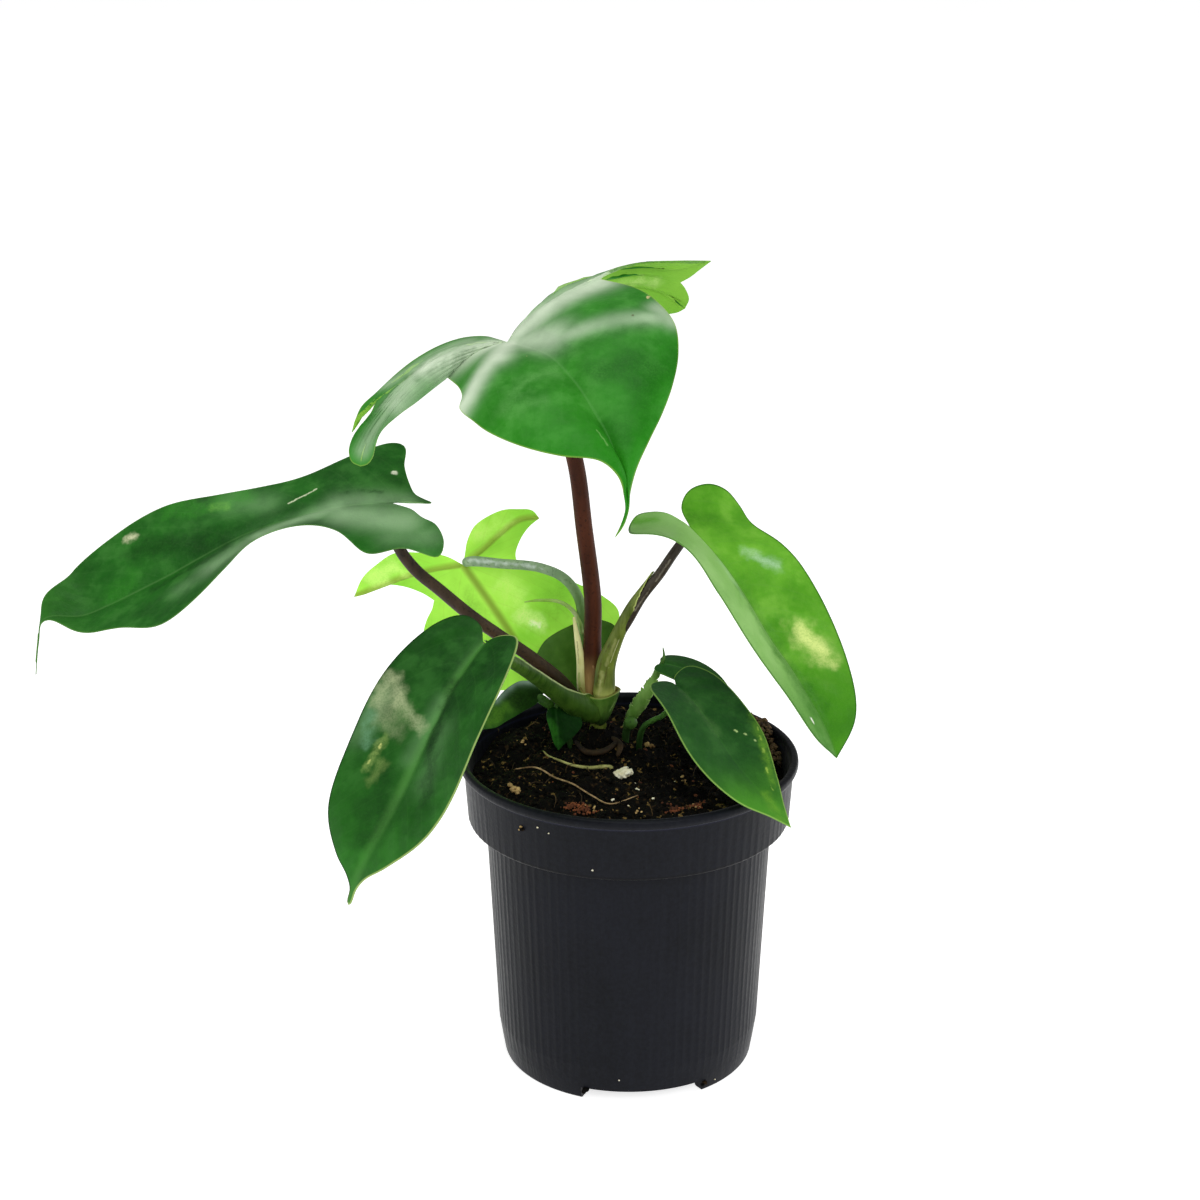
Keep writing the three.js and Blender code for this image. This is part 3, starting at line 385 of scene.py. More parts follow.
def leafBend(hub, stations):  # bends flat (x, y) by [distance, heading, pitch, roll, left fold, right fold]
    table = np.array(stations, float)
    xs, values = table[:, 0], table[:, 1:]
    gaps = np.diff(xs)[:, None]
    rise = np.diff(values, axis=0) / gaps
    slopes = np.vstack([rise[:1], rise[-1:]])
    if len(xs) > 2:
        middle = (rise[:-1] * gaps[1:] + rise[1:] * gaps[:-1]) / (gaps[:-1] + gaps[1:])
        slopes = np.vstack([rise[:1], middle, rise[-1:]])

    def at(x):
        here = np.clip(x, xs[0], xs[-1])
        k = np.clip(np.searchsorted(xs, here) - 1, 0, len(xs) - 2)
        h = gaps[k]
        t = ((here - xs[k]) / h[:, 0])[:, None]
        return (
            (2 * t**3 - 3 * t**2 + 1) * values[k] + (t**3 - 2 * t**2 + t) * h * slopes[k]
            + (3 * t**2 - 2 * t**3) * values[k + 1] + (t**3 - t**2) * h * slopes[k + 1])

    def axes(angles):
        heading, pitch, roll = np.radians(angles[:, :3]).T
        ahead = np.stack(
            [np.cos(pitch) * np.cos(heading), np.cos(pitch) * np.sin(heading), np.sin(pitch)], 1)
        level = np.stack([-np.sin(heading), np.cos(heading), 0 * heading], 1)
        face = np.cross(ahead, level)
        left = level * np.cos(roll)[:, None] + face * np.sin(roll)[:, None]
        normal = face * np.cos(roll)[:, None] - level * np.sin(roll)[:, None]
        return ahead, left, normal

    grid = np.arange(-40, 180.1, 0.25)
    steps = axes(at((grid[:-1] + grid[1:]) / 2))[0] * 0.25
    spine = np.vstack([np.zeros(3), np.cumsum(steps, axis=0)])
    spine += np.array(hub, float) - spine[np.argmin(np.abs(grid))]

    def place(flat):
        x, y = flat[:, 0], flat[:, 1]
        angles = at(x)
        _, left, normal = axes(angles)
        fold = np.radians(np.where(y >= 0, angles[:, 3], angles[:, 4]))
        middle = np.stack([np.interp(x, grid, spine[:, c]) for c in range(3)], 1)
        return middle + left * (y * np.cos(fold))[:, None] + normal * (np.abs(y) * np.sin(fold))[:, None]

    return place


def lobeSheet(lobe, hand, columns, pitch, ribEase):  # rows from the rib out to one margin
    rib, *margins = (np.array([(*p, 0)[:3] for p in lobe[key]], float) for key in ("rib", "left", "right"))
    rows = max(10, *(int(round(lineLength(margin) / pitch)) for margin in margins))
    margin = margins[hand == "right"]
    edge = smoothLine(margin, rows)
    ribFine = smoothLine(rib, 240)
    t = np.linspace(0, 1, rows + 1)
    spot = t**ribEase
    pick = np.linspace(0, 1, 241)
    root = np.stack([np.interp(spot, pick, ribFine[:, c]) for c in range(3)], 1)
    tangent = unit(np.stack([np.interp(spot, pick, np.gradient(ribFine[:, c])) for c in range(3)], 1))
    rung = edge - root
    s = np.linspace(0, 1, columns + 1)
    grid = root[:, None] + rung[:, None] * s[None, :, None]
    lift = unit(np.cross(tangent, rung))
    bulge = lobe.get("bulge", 0) * (1 if hand == "left" else -1)
    grid += lift[:, None] * (4 * bulge * s * (1 - s))[None, :, None] * np.sin(np.pi * t)[:, None, None]
    seam = lobe.get(hand + "Seam")
    if seam is not None:
        straight = root[0] + rung[0] * s[:, None]
        grid += ((smoothLine(seam, columns) - straight)[None] * ((1 - t) ** 2)[:, None, None])
    reach = np.linalg.norm(rung, axis=1)
    ribLong = lineLength(rib)
    marks = {
        "along": np.repeat((spot * ribLong)[:, None], columns + 1, 1),
        "across": reach[:, None] * s[None],
        "edge": reach[:, None] * (1 - s)[None],
        "streak": np.full((rows + 1, columns + 1), float(lobe.get("streak", 0))),
        "side": np.clip(reach[:, None] * s[None] / 1.2, 0, 1) * (hand == "right"),
    }
    return grid, marks


leafSkin = {  # millimetres, shared by every blade unless its own plan says otherwise
    "columns": 26,
    "pitch": 1.25,  # row spacing along the margin
    "thick": 0.5,
    "ribDepth": 0.45,
    "ribWidth": 1.3,
    "keel": 0.7,  # height of the rib's ridge on the underside
    "veinGap": 9.0,
    "veinSlant": 0.65,
    "veinCurl": 0.012,
    "quilt": 0.1,
    "wander": 0.6,
    "wanderSize": 17.0,
    "ribEase": 1.3,
    "calmReach": 5,  # from the margin, where relief and wander fade out
    "calmPower": 0.7,
    "quiltFrom": 2,  # from the rib, where the relief between veins starts
    "quiltRise": 6,
    "tipFade": 0.75,  # share of the rib's depth that is lost by the tip
    "streakDepth": 0.2,
    "streakGap": 4.6,
    "edgeThin": 0.65,  # share of the thickness left at the margin
    "edgeReach": 1.5,
    "keelWidth": 0.8,
    "keelEnd": 3,
    "seed": 1.0,
}


def bladeMesh(plan):
    skin = {**leafSkin, **plan.get("skin", {})}
    place = plan.get("place")
    points, faces, marks, known = [], [], {}, {}
    for lobe in plan["lobes"]:
        for hand in ("left", "right"):
            grid, own = lobeSheet(lobe, hand, skin["columns"], skin["pitch"], skin["ribEase"])
            rows, columns = grid.shape[0] - 1, grid.shape[1] - 1
            flat = grid.reshape(-1, 3)
            keys = np.round(flat * 500).astype(int)
            ids = np.empty(len(flat), int)
            for n, key in enumerate(map(tuple, keys)):
                if key not in known:
                    known[key] = len(points)
                    points.append(flat[n])
                    for label in own:
                        marks.setdefault(label, []).append(own[label].flat[n])
                ids[n] = known[key]
            ids = ids.reshape(rows + 1, columns + 1)
            for i in range(rows):
                for j in range(columns):
                    ring = [ids[i, j], ids[i + 1, j], ids[i + 1, j + 1], ids[i, j + 1]]
                    if hand == "right":
                        ring.reverse()
                    ring = [v for k, v in enumerate(ring) if v != ring[k - 1]]
                    if len(set(ring)) == len(ring) and len(ring) > 2:
                        faces.append(tuple(int(v) for v in ring))
    points = np.array(points)
    if place is not None:
        points = place(points)
    marks = {label: np.array(values) for label, values in marks.items()}
    hub = np.array(plan["hub"], float)
    marks["hub"] = np.linalg.norm(points - hub, axis=1)

    def normalsOf(where):
        out = np.zeros_like(where)
        for corners in (3, 4):
            group = np.array([f for f in faces if len(f) == corners])
            if len(group) == 0:
                continue
            a, b = where[group[:, 2]] - where[group[:, 0]], where[group[:, -1]] - where[group[:, 1]]
            if corners == 3:
                b = where[group[:, 2]] - where[group[:, 1]]
                a = where[group[:, 1]] - where[group[:, 0]]
            facing = np.cross(a, b)
            for c in range(corners):
                np.add.at(out, group[:, c], facing)
        return unit(out)

    normals = normalsOf(points)
    along, across, edge = marks["along"], marks["across"], marks["edge"]
    long = max(along.max(), 1.0)
    calm = np.clip(edge / skin["calmReach"], 0, 1) ** skin["calmPower"]
    phase = (along - skin["veinSlant"] * across - skin["veinCurl"] * across**2) / skin["veinGap"]
    marks["vein"] = phase
    away = np.clip((across - skin["quiltFrom"]) / skin["quiltRise"], 0, 1)
    fade = 1 - skin["tipFade"] * along / long
    relief = -skin["ribDepth"] * fade * np.exp(-(across / skin["ribWidth"]) ** 2)
    relief += skin["quilt"] * np.cos(2 * np.pi * phase) * away * calm * (1 - marks["streak"])
    relief += marks["streak"] * skin["streakDepth"] * np.cos(2 * np.pi * across / skin["streakGap"]) * calm
    relief += skin["wander"] * blobNoise(points, skin["wanderSize"], skin["seed"]) * calm
    points = points + normals * relief[:, None]
    normals = normalsOf(points)
    thin = skin["edgeThin"]
    half = skin["thick"] / 2 * (thin + (1 - thin) * np.clip(edge / skin["edgeReach"], 0, 1))
    keel = skin["keel"] * fade * np.exp(-(across / skin["keelWidth"]) ** 2)
    keel *= np.clip(edge / skin["keelEnd"], 0, 1)
    # painted sheen: soft highlight lines from the plan's sheen list, kept on the points as a share
    paintedSheen = np.zeros(len(points))
    for start, end, radius, power in plan.get("sheen", ()):
        a, b = np.array(start, float), np.array(end, float)
        line = b - a
        share = np.clip((points - a) @ line / max(line @ line, 1e-6), 0, 1)
        far = np.linalg.norm(points - a - share[:, None] * line, axis=1)
        paintedSheen = np.maximum(paintedSheen, power * np.exp(-(far / radius) ** 2))
    marks["paintedSheen"] = paintedSheen
    count = len(points)
    both = np.vstack([points + normals * half[:, None], points - normals * (half + keel)[:, None]])
    shell = list(faces) + [tuple(count + v for v in reversed(f)) for f in faces]
    directed = {(f[k], f[(k + 1) % len(f)]) for f in faces for k in range(len(f))}
    sharp = []
    for i, j in sorted(directed):
        if (j, i) not in directed:
            shell.append((i, count + i, count + j, j))
            sharp += [(i, j), (count + i, count + j)]
    shell = outwards(both, shell)
    doubled = {label: np.concatenate([v, v]) for label, v in marks.items()}
    doubled["upper"] = np.concatenate([np.ones(count), np.zeros(count)])
    return both, shell, doubled, sharp


# Leaf colour: deep and mid green, paler rib, veins, painted grey sheen, thin margin line and paler
# underside

def leafFinish(name, look):
    finish, tree, shader = newFinish(
        name, roughness=look["roughness"], specular=look.get("specular", 0.1))
    across, edge = marked(tree, "across"), marked(tree, "edge")
    hub, paintedSheen, upper, vein = (marked(tree, label) for label in ("hub", "paintedSheen", "upper", "vein"))
    cloudy, blotch, fine = grain(tree, 26.0, 4.0), grain(tree, 95.0, 4.0), grain(tree, 480.0, 2.0)
    skin = mixed(tree, sum2(tree, times(tree, cloudy, 0.6), times(tree, blotch, 0.4)), look["deep"],
                 look["mid"])
    skin = mixed(tree, times(tree, ease(tree, blotch, 0.5, 1.0), 0.25), skin, look["pale"])
    skin = mixed(tree, times(tree, fine, 0.1), skin, look["pale"])
    beat = maths(tree, "ABSOLUTE",
                 maths(tree, "SUBTRACT", maths(tree, "FRACT", sum2(tree, vein, 0.5)), 0.5))
    veinLine = ease(tree, beat, 0.0, 0.06, look.get("veinShow", 0.09), 0.0)
    veinLine = times(tree, veinLine, ease(tree, across, 0.5, 4.0))
    skin = mixed(tree, veinLine, skin, look["rib"])
    side = marked(tree, "side")
    if "half" in look:  # painted sheen: the half to the right of the rib, seen at a glancing angle, is drawn in this paler colour
        skin = mixed(tree, times(tree, side, ease(tree, blotch, 0.0, 1.0, 0.7, 0.95)), skin, look["half"])
    ribLine = ease(tree, across, look.get("ribWide", 0.7) * 0.1, look.get("ribWide", 0.7), 1.0, 0.0)
    ribLine = times(tree, ribLine, look.get("ribShow", 0.4))
    skin = mixed(tree, ribLine, skin, look["rib"])
    toTip = ease(tree, hub, look.get("tipFrom", 60.0), look.get("tipTo", 110.0), 0.0,
                 look.get("tipShow", 0.0))
    skin = mixed(tree, times(tree, toTip, ease(tree, blotch, 0.0, 1.0, 0.6, 1.0)), skin,
                 look.get("tip", look["mid"]))
    # painted sheen: a grey-white highlight mixed into the colour of both faces
    paintedSheenShare = times(tree, paintedSheen, ease(tree, blotch, 0.0, 1.0, 0.85, 1.0))
    skin = mixed(tree, paintedSheenShare, skin, look["paintedSheen"])
    rim = ease(tree, edge, look.get("rimWide", 0.5) * 0.2, look.get("rimWide", 0.5),
               look.get("rimShow", 0.4), 0.0)
    # farRim: the margin line to the right of the rib is painted dark as shade
    rimColour = mixed(tree, side, look["rim"], look["farRim"]) if "farRim" in look else look["rim"]
    skin = mixed(tree, rim, skin, rimColour)
    broken = ease(tree, grain(tree, 1500.0, 5.0, 0.7), 0.0, 0.8, 0.55, 1.0)
    skin = painted(tree, skin, look.get("marks", ()), broken)
    below = mixed(tree, cloudy, look["under"], look.get("underDeep", look["under"]))
    below = mixed(tree, times(tree, veinLine, 1.3), below, look["underRib"])
    below = mixed(tree, ribLine, below, look["underRib"])
    below = mixed(tree, paintedSheenShare, below, look["paintedSheen"])
    below = painted(tree, below, look.get("underMarks", ()), broken)
    colour = mixed(tree, upper, below, skin)
    tree.links.new(colour, shader.inputs["Base Color"])
    if "glow" in look:  # painted light: the leaf glows in its own colour, standing in for light that comes through a thin young leaf
        tree.links.new(colour, shader.inputs["Emission Color"])
        shader.inputs["Emission Strength"].default_value = look["glow"]
    rough = sum2(tree, look["roughness"] - 0.06, times(tree, blotch, 0.12))
    tree.links.new(sum2(tree, rough, times(tree, paintedSheenShare, 0.12)), shader.inputs["Roughness"])
    pores = sum2(tree, times(tree, grain(tree, 900.0, 2.0), 0.4), times(tree, grain(tree, 240.0, 3.0), 0.8))
    bumped(tree, shader, pores, 0.00012, 0.7)
    return finish


# Leaf on top

topHub = (-41.5, 6, 261.5)
topTip = (-5.5, -59, 213)
nearNotch = (-61, -7, 252.5)
farNotch = (-10, 22, 279.5)
nearFork = (-84.5, -12, 246)
farFork = (18, 47, 273)
nearSeam = [topHub, (-47, 3.5, 261), (-54, -1.5, 258.5), nearNotch]
farSeam = [topHub, (-33, 11, 268.5), (-22, 16.5, 275.5), farNotch]
nearForkSeam = [topHub, (-50.5, 3.5, 262.2), (-62, -1.5, 260), (-72, -8, 254.5), nearFork]
farForkSeam = [
    topHub, (-31, 20, 271), (-18.5, 30.5, 276.5), (-7, 36, 277.5), (6, 42, 276.5), farFork]
topLeaf = {
    "hub": topHub,
    "skin": {"columns": 30, "seed": 3.0, "quilt": 0.04, "ribDepth": 0.12, "wander": 0.9},
    "lobes": [
        {
            "bulge": 3,
            "leftSeam": farSeam,
            "rightSeam": nearSeam,
            "rib": [topHub, (-33.5, -6, 262.5), (-25, -17, 261), (-15, -33, 252.5), (-7, -46, 241.5),
                    (-1.5, -56, 227), (-1.5, -57, 222), (-3, -58, 217), topTip],
            "left": [farNotch, (2, 10, 279), (8.5, 0, 277), (14.5, -10, 271.5), (15.5, -20, 263.5),
                     (13.5, -28, 255.5), (10, -36, 248), (5.5, -45, 241), (1.5, -52, 234),
                     (-0.6, -56, 227), (-1, -57, 222), (-2.6, -58, 217), topTip],
            "right": [nearNotch, (-57, -14, 251), (-55.5, -20, 249.5), (-56, -27, 247), (-51.5, -34, 245),
                      (-46.5, -40, 243), (-35.5, -50, 241), (-23, -56, 239.5), (-10, -57, 238),
                      (-4.5, -57, 233), (-2.6, -56.5, 227), (-2, -57, 222), (-3.5, -58, 217), topTip],
        },
        {
            "bulge": 1,
            "streak": 1,
            "leftSeam": nearSeam,
            "rightSeam": nearForkSeam,
            "rib": [topHub, (-50.5, 1, 261.5), (-62, -6, 259), (-72, -13, 252.5), (-81, -20, 244),
                    (-86.5, -25, 236), (-89, -28.5, 228)],
            "left": [nearNotch, (-65.5, -12, 250), (-70.5, -17, 247), (-76.5, -22, 243.5), (-82, -26, 239),
                     (-83.8, -28, 235), (-84.6, -29, 231.5), (-86.5, -29, 228.8), (-89, -28.5, 228)],
            "right": [nearFork, (-86, -16, 243), (-90, -20, 238.5), (-92, -23, 235.5), (-92.8, -26, 232),
                      (-91.8, -27.5, 229.2), (-89, -28.5, 228)],
        },
        {
            "streak": 1,
            "leftSeam": nearForkSeam,
            "rib": [topHub, (-50.5, 6, 262), (-62.5, 3, 259.5), (-72, -3, 255), (-82, -9, 247.5),
                    (-88, -12, 243.5), (-92.5, -17, 236.5)],
            "left": [nearFork, (-86.5, -13, 244.5), (-91, -15, 241), (-92.5, -17, 236.5)],
            "right": [topHub, (-45, 10, 261.5), (-49, 12, 262), (-56.5, 12, 261.5), (-64.5, 9, 259.5),
                      (-72.5, 4, 256), (-78, 0, 252.5), (-85, -6, 247), (-90, -11, 243),
                      (-92.5, -17, 236.5)],
        },
        {
            "streak": 0.5,
            "leftSeam": farForkSeam,
            "rightSeam": farSeam,
            "rib": [topHub, (-37.5, 13, 265.5), (-32.5, 17, 269.5), (-25.5, 23, 275.5), (-18.5, 27, 278),
                    (-9.5, 31, 280), (3.5, 37, 280), (17.5, 42, 279.5), (28.5, 45, 281)],
            "left": [farFork, (21.5, 47, 275), (24.5, 46.5, 277.5), (28.5, 45, 281)],
            "right": [farNotch, (-6, 24, 282.5), (0, 27, 283.5), (6.5, 31, 283.5), (18, 38, 282.5),
                      (28.5, 45, 281)],
        },
        {
            "bulge": 1,
            "rightSeam": farForkSeam,
            "rib": [topHub, (-36, 16, 265.5), (-28, 25, 270.5), (-17, 34, 273), (-5, 41, 273.5),
                    (9, 47, 271), (19.9, 51, 262.8)],
            "left": [topHub, (-38.5, 13, 261), (-32, 24, 260), (-22.5, 34, 258.5), (-10, 42, 257.4),
                     (4, 48, 258), (13, 50.6, 260.6), (17.4, 51, 261.4), (19.9, 51, 262.8)],
            "right": [farFork, (20, 49.2, 270), (21.2, 50.6, 266.2), (19.9, 51, 262.8)],
        },
    ],
    # painted sheen: soft highlight lines laid into the leaf's colour
    "sheen": [
        ((-41, 3, 262), (-44, -12, 259), 5.5, 0.95), ((-38, 8, 265), (-10, 20, 281), 8.0, 0.85),
        ((-40, 3, 262.5), (-27, -6, 266), 8.0, 0.6), ((-45, -13, 258.5), (-57, -29, 247), 4.4, 0.9),
        ((-24, -9, 267), (10, -8.5, 273.5), 4.0, 0.45),
        ((9, -4, 275), (13.5, -9, 272), 4.0, 0.5), ((-46, 3, 261.5), (-69, -9, 256), 6.0, 0.9),
        ((-69, -9, 256), (-78, -19, 247), 5.5, 0.55), ((-78, -19, 247), (-88, -27, 233), 3.0, 0.35),
        ((-54, 7, 262), (-80, -6, 250), 4.0, 0.4),
    ],
    "look": {
        "deep": tint(20, 92, 10), "mid": tint(50, 134, 32), "pale": tint(96, 162, 80),
        "rib": tint(112, 168, 96), "paintedSheen": tint(208, 222, 198), "rim": tint(150, 176, 78),
        "under": tint(128, 184, 58), "underDeep": tint(104, 166, 46), "underRib": tint(170, 204, 100),
        "roughness": 0.45, "ribShow": 0.12, "veinShow": 0.03,
        "tip": tint(24, 124, 4), "tipShow": 0.75, "tipFrom": 34.0, "tipTo": 90.0,
        "marks": [
            (tint(14, 84, 6), [
                ((-8, -27, 260.5), (8, -27, 259), 15.0, 0.75), ((4, -34, 253), (-2, -46, 245), 11.0, 0.5),
                ((-20, -16, 262.5), (4, -13, 270), 5.0, 0.45),
                ((-52, -1, 261.5), (-70, -13, 253), 2.6, 0.4),
                ((-70, -5, 256.5), (-84, -16, 245), 2.0, 0.4),
            ]),
            (tint(104, 168, 88),
             [((-36, -31, 254.5), (-26, -23, 259), 7.0, 0.45),
              ((-40, -36, 250), (-30, -38, 251), 6.0, 0.3)]),
            (tint(150, 200, 120), [((-11.1, -48.1, 245.8), (-7.9, -52.2, 242), 0.6, 0.35)]),
            (tint(214, 196, 140), [
                ((5.9, 2.6, 278), (5.9, 1.6, 277.9), 0.9, 0.9),
                ((6.2, 5.0, 278.4), (6.2, 4.4, 278.4), 0.6, 0.7),
                ((-34.2, -15, 261.2), (-34.2, -15, 261.2), 0.7, 0.9),
            ]),
            (tint(70, 50, 24), [((0.7, -7.9, 273.7), (0.7, -7.9, 273.7), 0.8, 0.8)]),
        ],
        "underMarks": [(tint(54, 110, 34), [((-6, 24, 282.5), (6.5, 31, 283.3), 3.0, 0.9),
                                            ((6.5, 31, 283.3), (26, 43.5, 281.5), 2.0, 0.8)]),
                       (tint(186, 216, 130), [((10, 43, 273), (-2, 38, 274), 4.0, 0.5)])],
    },
}

# Long leaf to the left
leftHub = (-82, -9, 209.5)
leftLeaf = {
    "hub": leftHub,
    "place": leafBend(leftHub, [
        [-18, 181, 6.5, 3.5, -25.5, 4],
        [0, 178.5, -1.5, -5.5, -18, 15.5],
        [35, 188, -16, -1.5, 4.5, 20],
        [70, 191, -27.5, -14, 8.5, 21],
        [105, 193.5, -22, -13.5, 5, 14.5],
        [123.5, 199.5, -25, -6.5, 3, 7],
        [127, 200, -76, 0, 0, 0],
        [133, 200, -80, 0, 0, 0],
        [144, 200, -83, 0, 0, 0],
    ]),
    "skin": {"columns": 20, "ribEase": 1.5, "seed": 5.0, "ribDepth": 0.6, "ribWidth": 1.8},
    "lobes": [{
        "rib": [(0, 0), (144, 0)],
        "left": [(0, 0), (-8, 3), (-12, 7), (-17, 10.5), (-20.5, 19.5), (-18.8, 27), (-7, 23), (6, 26.5),
                 (17.5, 16.5), (29.5, 12), (46.5, 11.5), (59.5, 22), (84.5, 30.5), (100, 18),
                 (114.5, 10.5), (123, 1.6), (126, 0.5), (144, 0)],
        "right": [(0, 0), (-8, -0.5), (-15, -1), (-9, -6), (-6.5, -12), (-4, -21.5), (-2.5, -34),
                  (11, -26.5), (25.5, -20.5), (39.5, -20.5), (53.5, -22.5), (71.5, -27), (90, -26.5),
                  (109, -22), (120.5, -13), (124.5, -2.5), (126.5, -0.5), (144, 0)],
    }],
    # painted sheen: soft highlight lines laid into the leaf's colour
    "sheen": [
        ((-76, -18, 206), (-96, -15, 207), 7.0, 0.8), ((-68, -25, 203), (-80, -24, 203.5), 6.0, 0.35),
        ((-76, -8, 209.5), (-99, -8, 209.5), 5.0, 0.45), ((-99, -10, 208), (-124, -21, 201), 5.0, 0.7),
        ((-124, -22, 200.5), (-140, -28, 193.5), 6.5, 0.45), ((-138, -30, 194), (-150, -32, 187), 5.0, 0.2),
        ((-124, -2, 207), (-136, 2, 207), 6.0, 0.2),
    ],
    "look": {
        "deep": tint(10, 60, 10), "mid": tint(34, 108, 24), "pale": tint(74, 130, 60),
        "rib": tint(92, 136, 76), "paintedSheen": tint(150, 184, 140), "rim": tint(96, 140, 60),
        "under": tint(86, 130, 66), "underRib": tint(150, 180, 110), "roughness": 0.42,
        "ribShow": 0.3, "ribWide": 0.8, "veinShow": 0.05,
        "tip": tint(60, 126, 40), "tipShow": 0.5, "tipFrom": 100.0, "tipTo": 130.0,
        "marks": [
            (tint(52, 138, 32),
             [((-134, 3, 208), (-158, 2, 202), 8.0, 0.5), ((-168, -16, 187), (-176, -20, 179), 6.0, 0.35)]),
            (tint(4, 44, 4), [
                ((-140, -13, 198), (-168, -8, 193), 8.0, 0.6),
                ((-112, -6, 207), (-132, -10, 201), 5.0, 0.35),
                ((-128, -17, 199), (-160, -23, 184), 3.0, 0.5),
                ((-84, -4, 211.4), (-98, -2, 210.6), 1.8, 0.6), ((-78, 2, 213), (-86, 4, 214.5), 5.0, 0.3),
            ]),
            (tint(206, 216, 180), [((-116.4, -3.6, 207.6), (-106.9, 0.9, 211.3), 0.5, 0.9)]),
            (tint(196, 200, 160), [
                ((-172.5, -2.7, 194.2), (-169, -2.4, 195.5), 2.2, 0.7),
                ((-171, -2.5, 194.8), (-169.5, -2.5, 195.4), 1.0, 0.8),
            ]),
            (tint(112, 172, 72), [((-143, 0, 205.4), (-138, 0, 206.4), 3.0, 0.5)]),
            (tint(240, 240, 220), [((-80.8, 6.4, 215.4), (-80.2, 6.4, 215.4), 1.5, 1.0)]),
        ],
    },
}

# Heart-shaped leaf at the front left
lowLeftHub = (-48.5, -50, 174)
lowLeftLeaf = {
    "hub": lowLeftHub,
    "place": leafBend(lowLeftHub, [
        [-10, -140, -32, -2, 9, 10],
        [35, -129, -50, 5, 14, 10],
        [75, -129.5, -46, 2, 8, 6.5],
        [100, -134, -72, 5, 5, 1],
    ]),
    "skin": {"seed": 7.0, "ribDepth": 0.6, "ribWidth": 2.2, "quilt": 0.14},
    "lobes": [{
        "rib": [(0, 0), (96.5, 0)],
        "left": [(0, 0), (-4.5, 5.5), (-5.5, 13.5), (0.5, 19.5), (19.5, 27), (45.5, 27.5), (69, 22),
                 (81.5, 11), (87, 4), (91, 1.5), (95.6, 1), (96.5, 0)],
        "right": [(0, 0), (-5, -5.5), (-5.5, -13.5), (0, -20), (19.5, -27), (45.5, -27.5),
                  (69.5, -22.5), (82.5, -12), (88, -4.5), (91.5, -1.5), (95.6, -1), (96.5, 0)],
    }],
    # painted sheen: soft highlight lines laid into the leaf's colour
    "sheen": [
        ((-82, -52, 156), (-90, -58, 146), 5.0, 0.4), ((-62, -62, 158), (-72, -72, 142), 3.0, 0.3),
        ((-60, -74, 152), (-66, -84, 139), 5.0, 0.25),
    ],
    "look": {
        "deep": tint(8, 46, 10), "mid": tint(30, 92, 20), "pale": tint(58, 112, 48),
        "rib": tint(80, 138, 62), "paintedSheen": tint(112, 156, 104), "rim": tint(170, 190, 110),
        # farRim: painted shade on the margin to the right of the rib
        "farRim": tint(10, 44, 12), "under": tint(86, 130, 66), "underRib": tint(150, 180, 110),
        "roughness": 0.4,
        "ribShow": 0.5, "ribWide": 3.4, "veinShow": 0.05, "rimShow": 0.7, "rimWide": 0.8,
        "tip": tint(50, 126, 36), "tipShow": 0.6, "tipFrom": 50.0, "tipTo": 95.0,
        "marks": [
            (tint(4, 36, 8), [
                ((-57.3, -61, 163), (-64.3, -74.4, 148), 5.0, 0.75),
                ((-64.3, -74.4, 148), (-65.5, -90, 136), 5.5, 0.6),
                ((-80, -74, 136), (-83, -88, 123), 9.0, 0.45), ((-60, -56, 169), (-66, -60, 162), 3.0, 0.3),
            ]),
            (tint(178, 188, 144), [
                ((-79, -48, 161.5), (-84.3, -52, 154.7), 4.4, 0.45),
                ((-78, -49, 161), (-76, -55.6, 156.2), 4.2, 0.45),
                ((-76, -55.6, 156), (-68, -66.4, 150.6), 3.8, 0.5),
                ((-81, -53, 156), (-78, -61, 150), 7.0, 0.3),
            ]),
            (tint(116, 166, 130), [((-86, -55, 150.5), (-87, -61, 144), 4.4, 0.4)]),
            (tint(150, 176, 96), [
                ((-80.4, -63, 145.6), (-83.2, -65.5, 142.6), 2.8, 0.4),
                ((-84.6, -66.4, 140.6), (-86.6, -68.6, 137.6), 2.6, 0.45),
                ((-81, -69.4, 139.6), (-84, -73, 135.2), 3.8, 0.3),
            ]),
            (tint(214, 220, 130), [
                ((-82, -64.4, 144), (-82.4, -64.8, 143.4), 1.0, 0.8),
                ((-85.4, -67, 139.6), (-85.8, -67.6, 139), 0.8, 0.5),
            ]),
        ],
    },
}

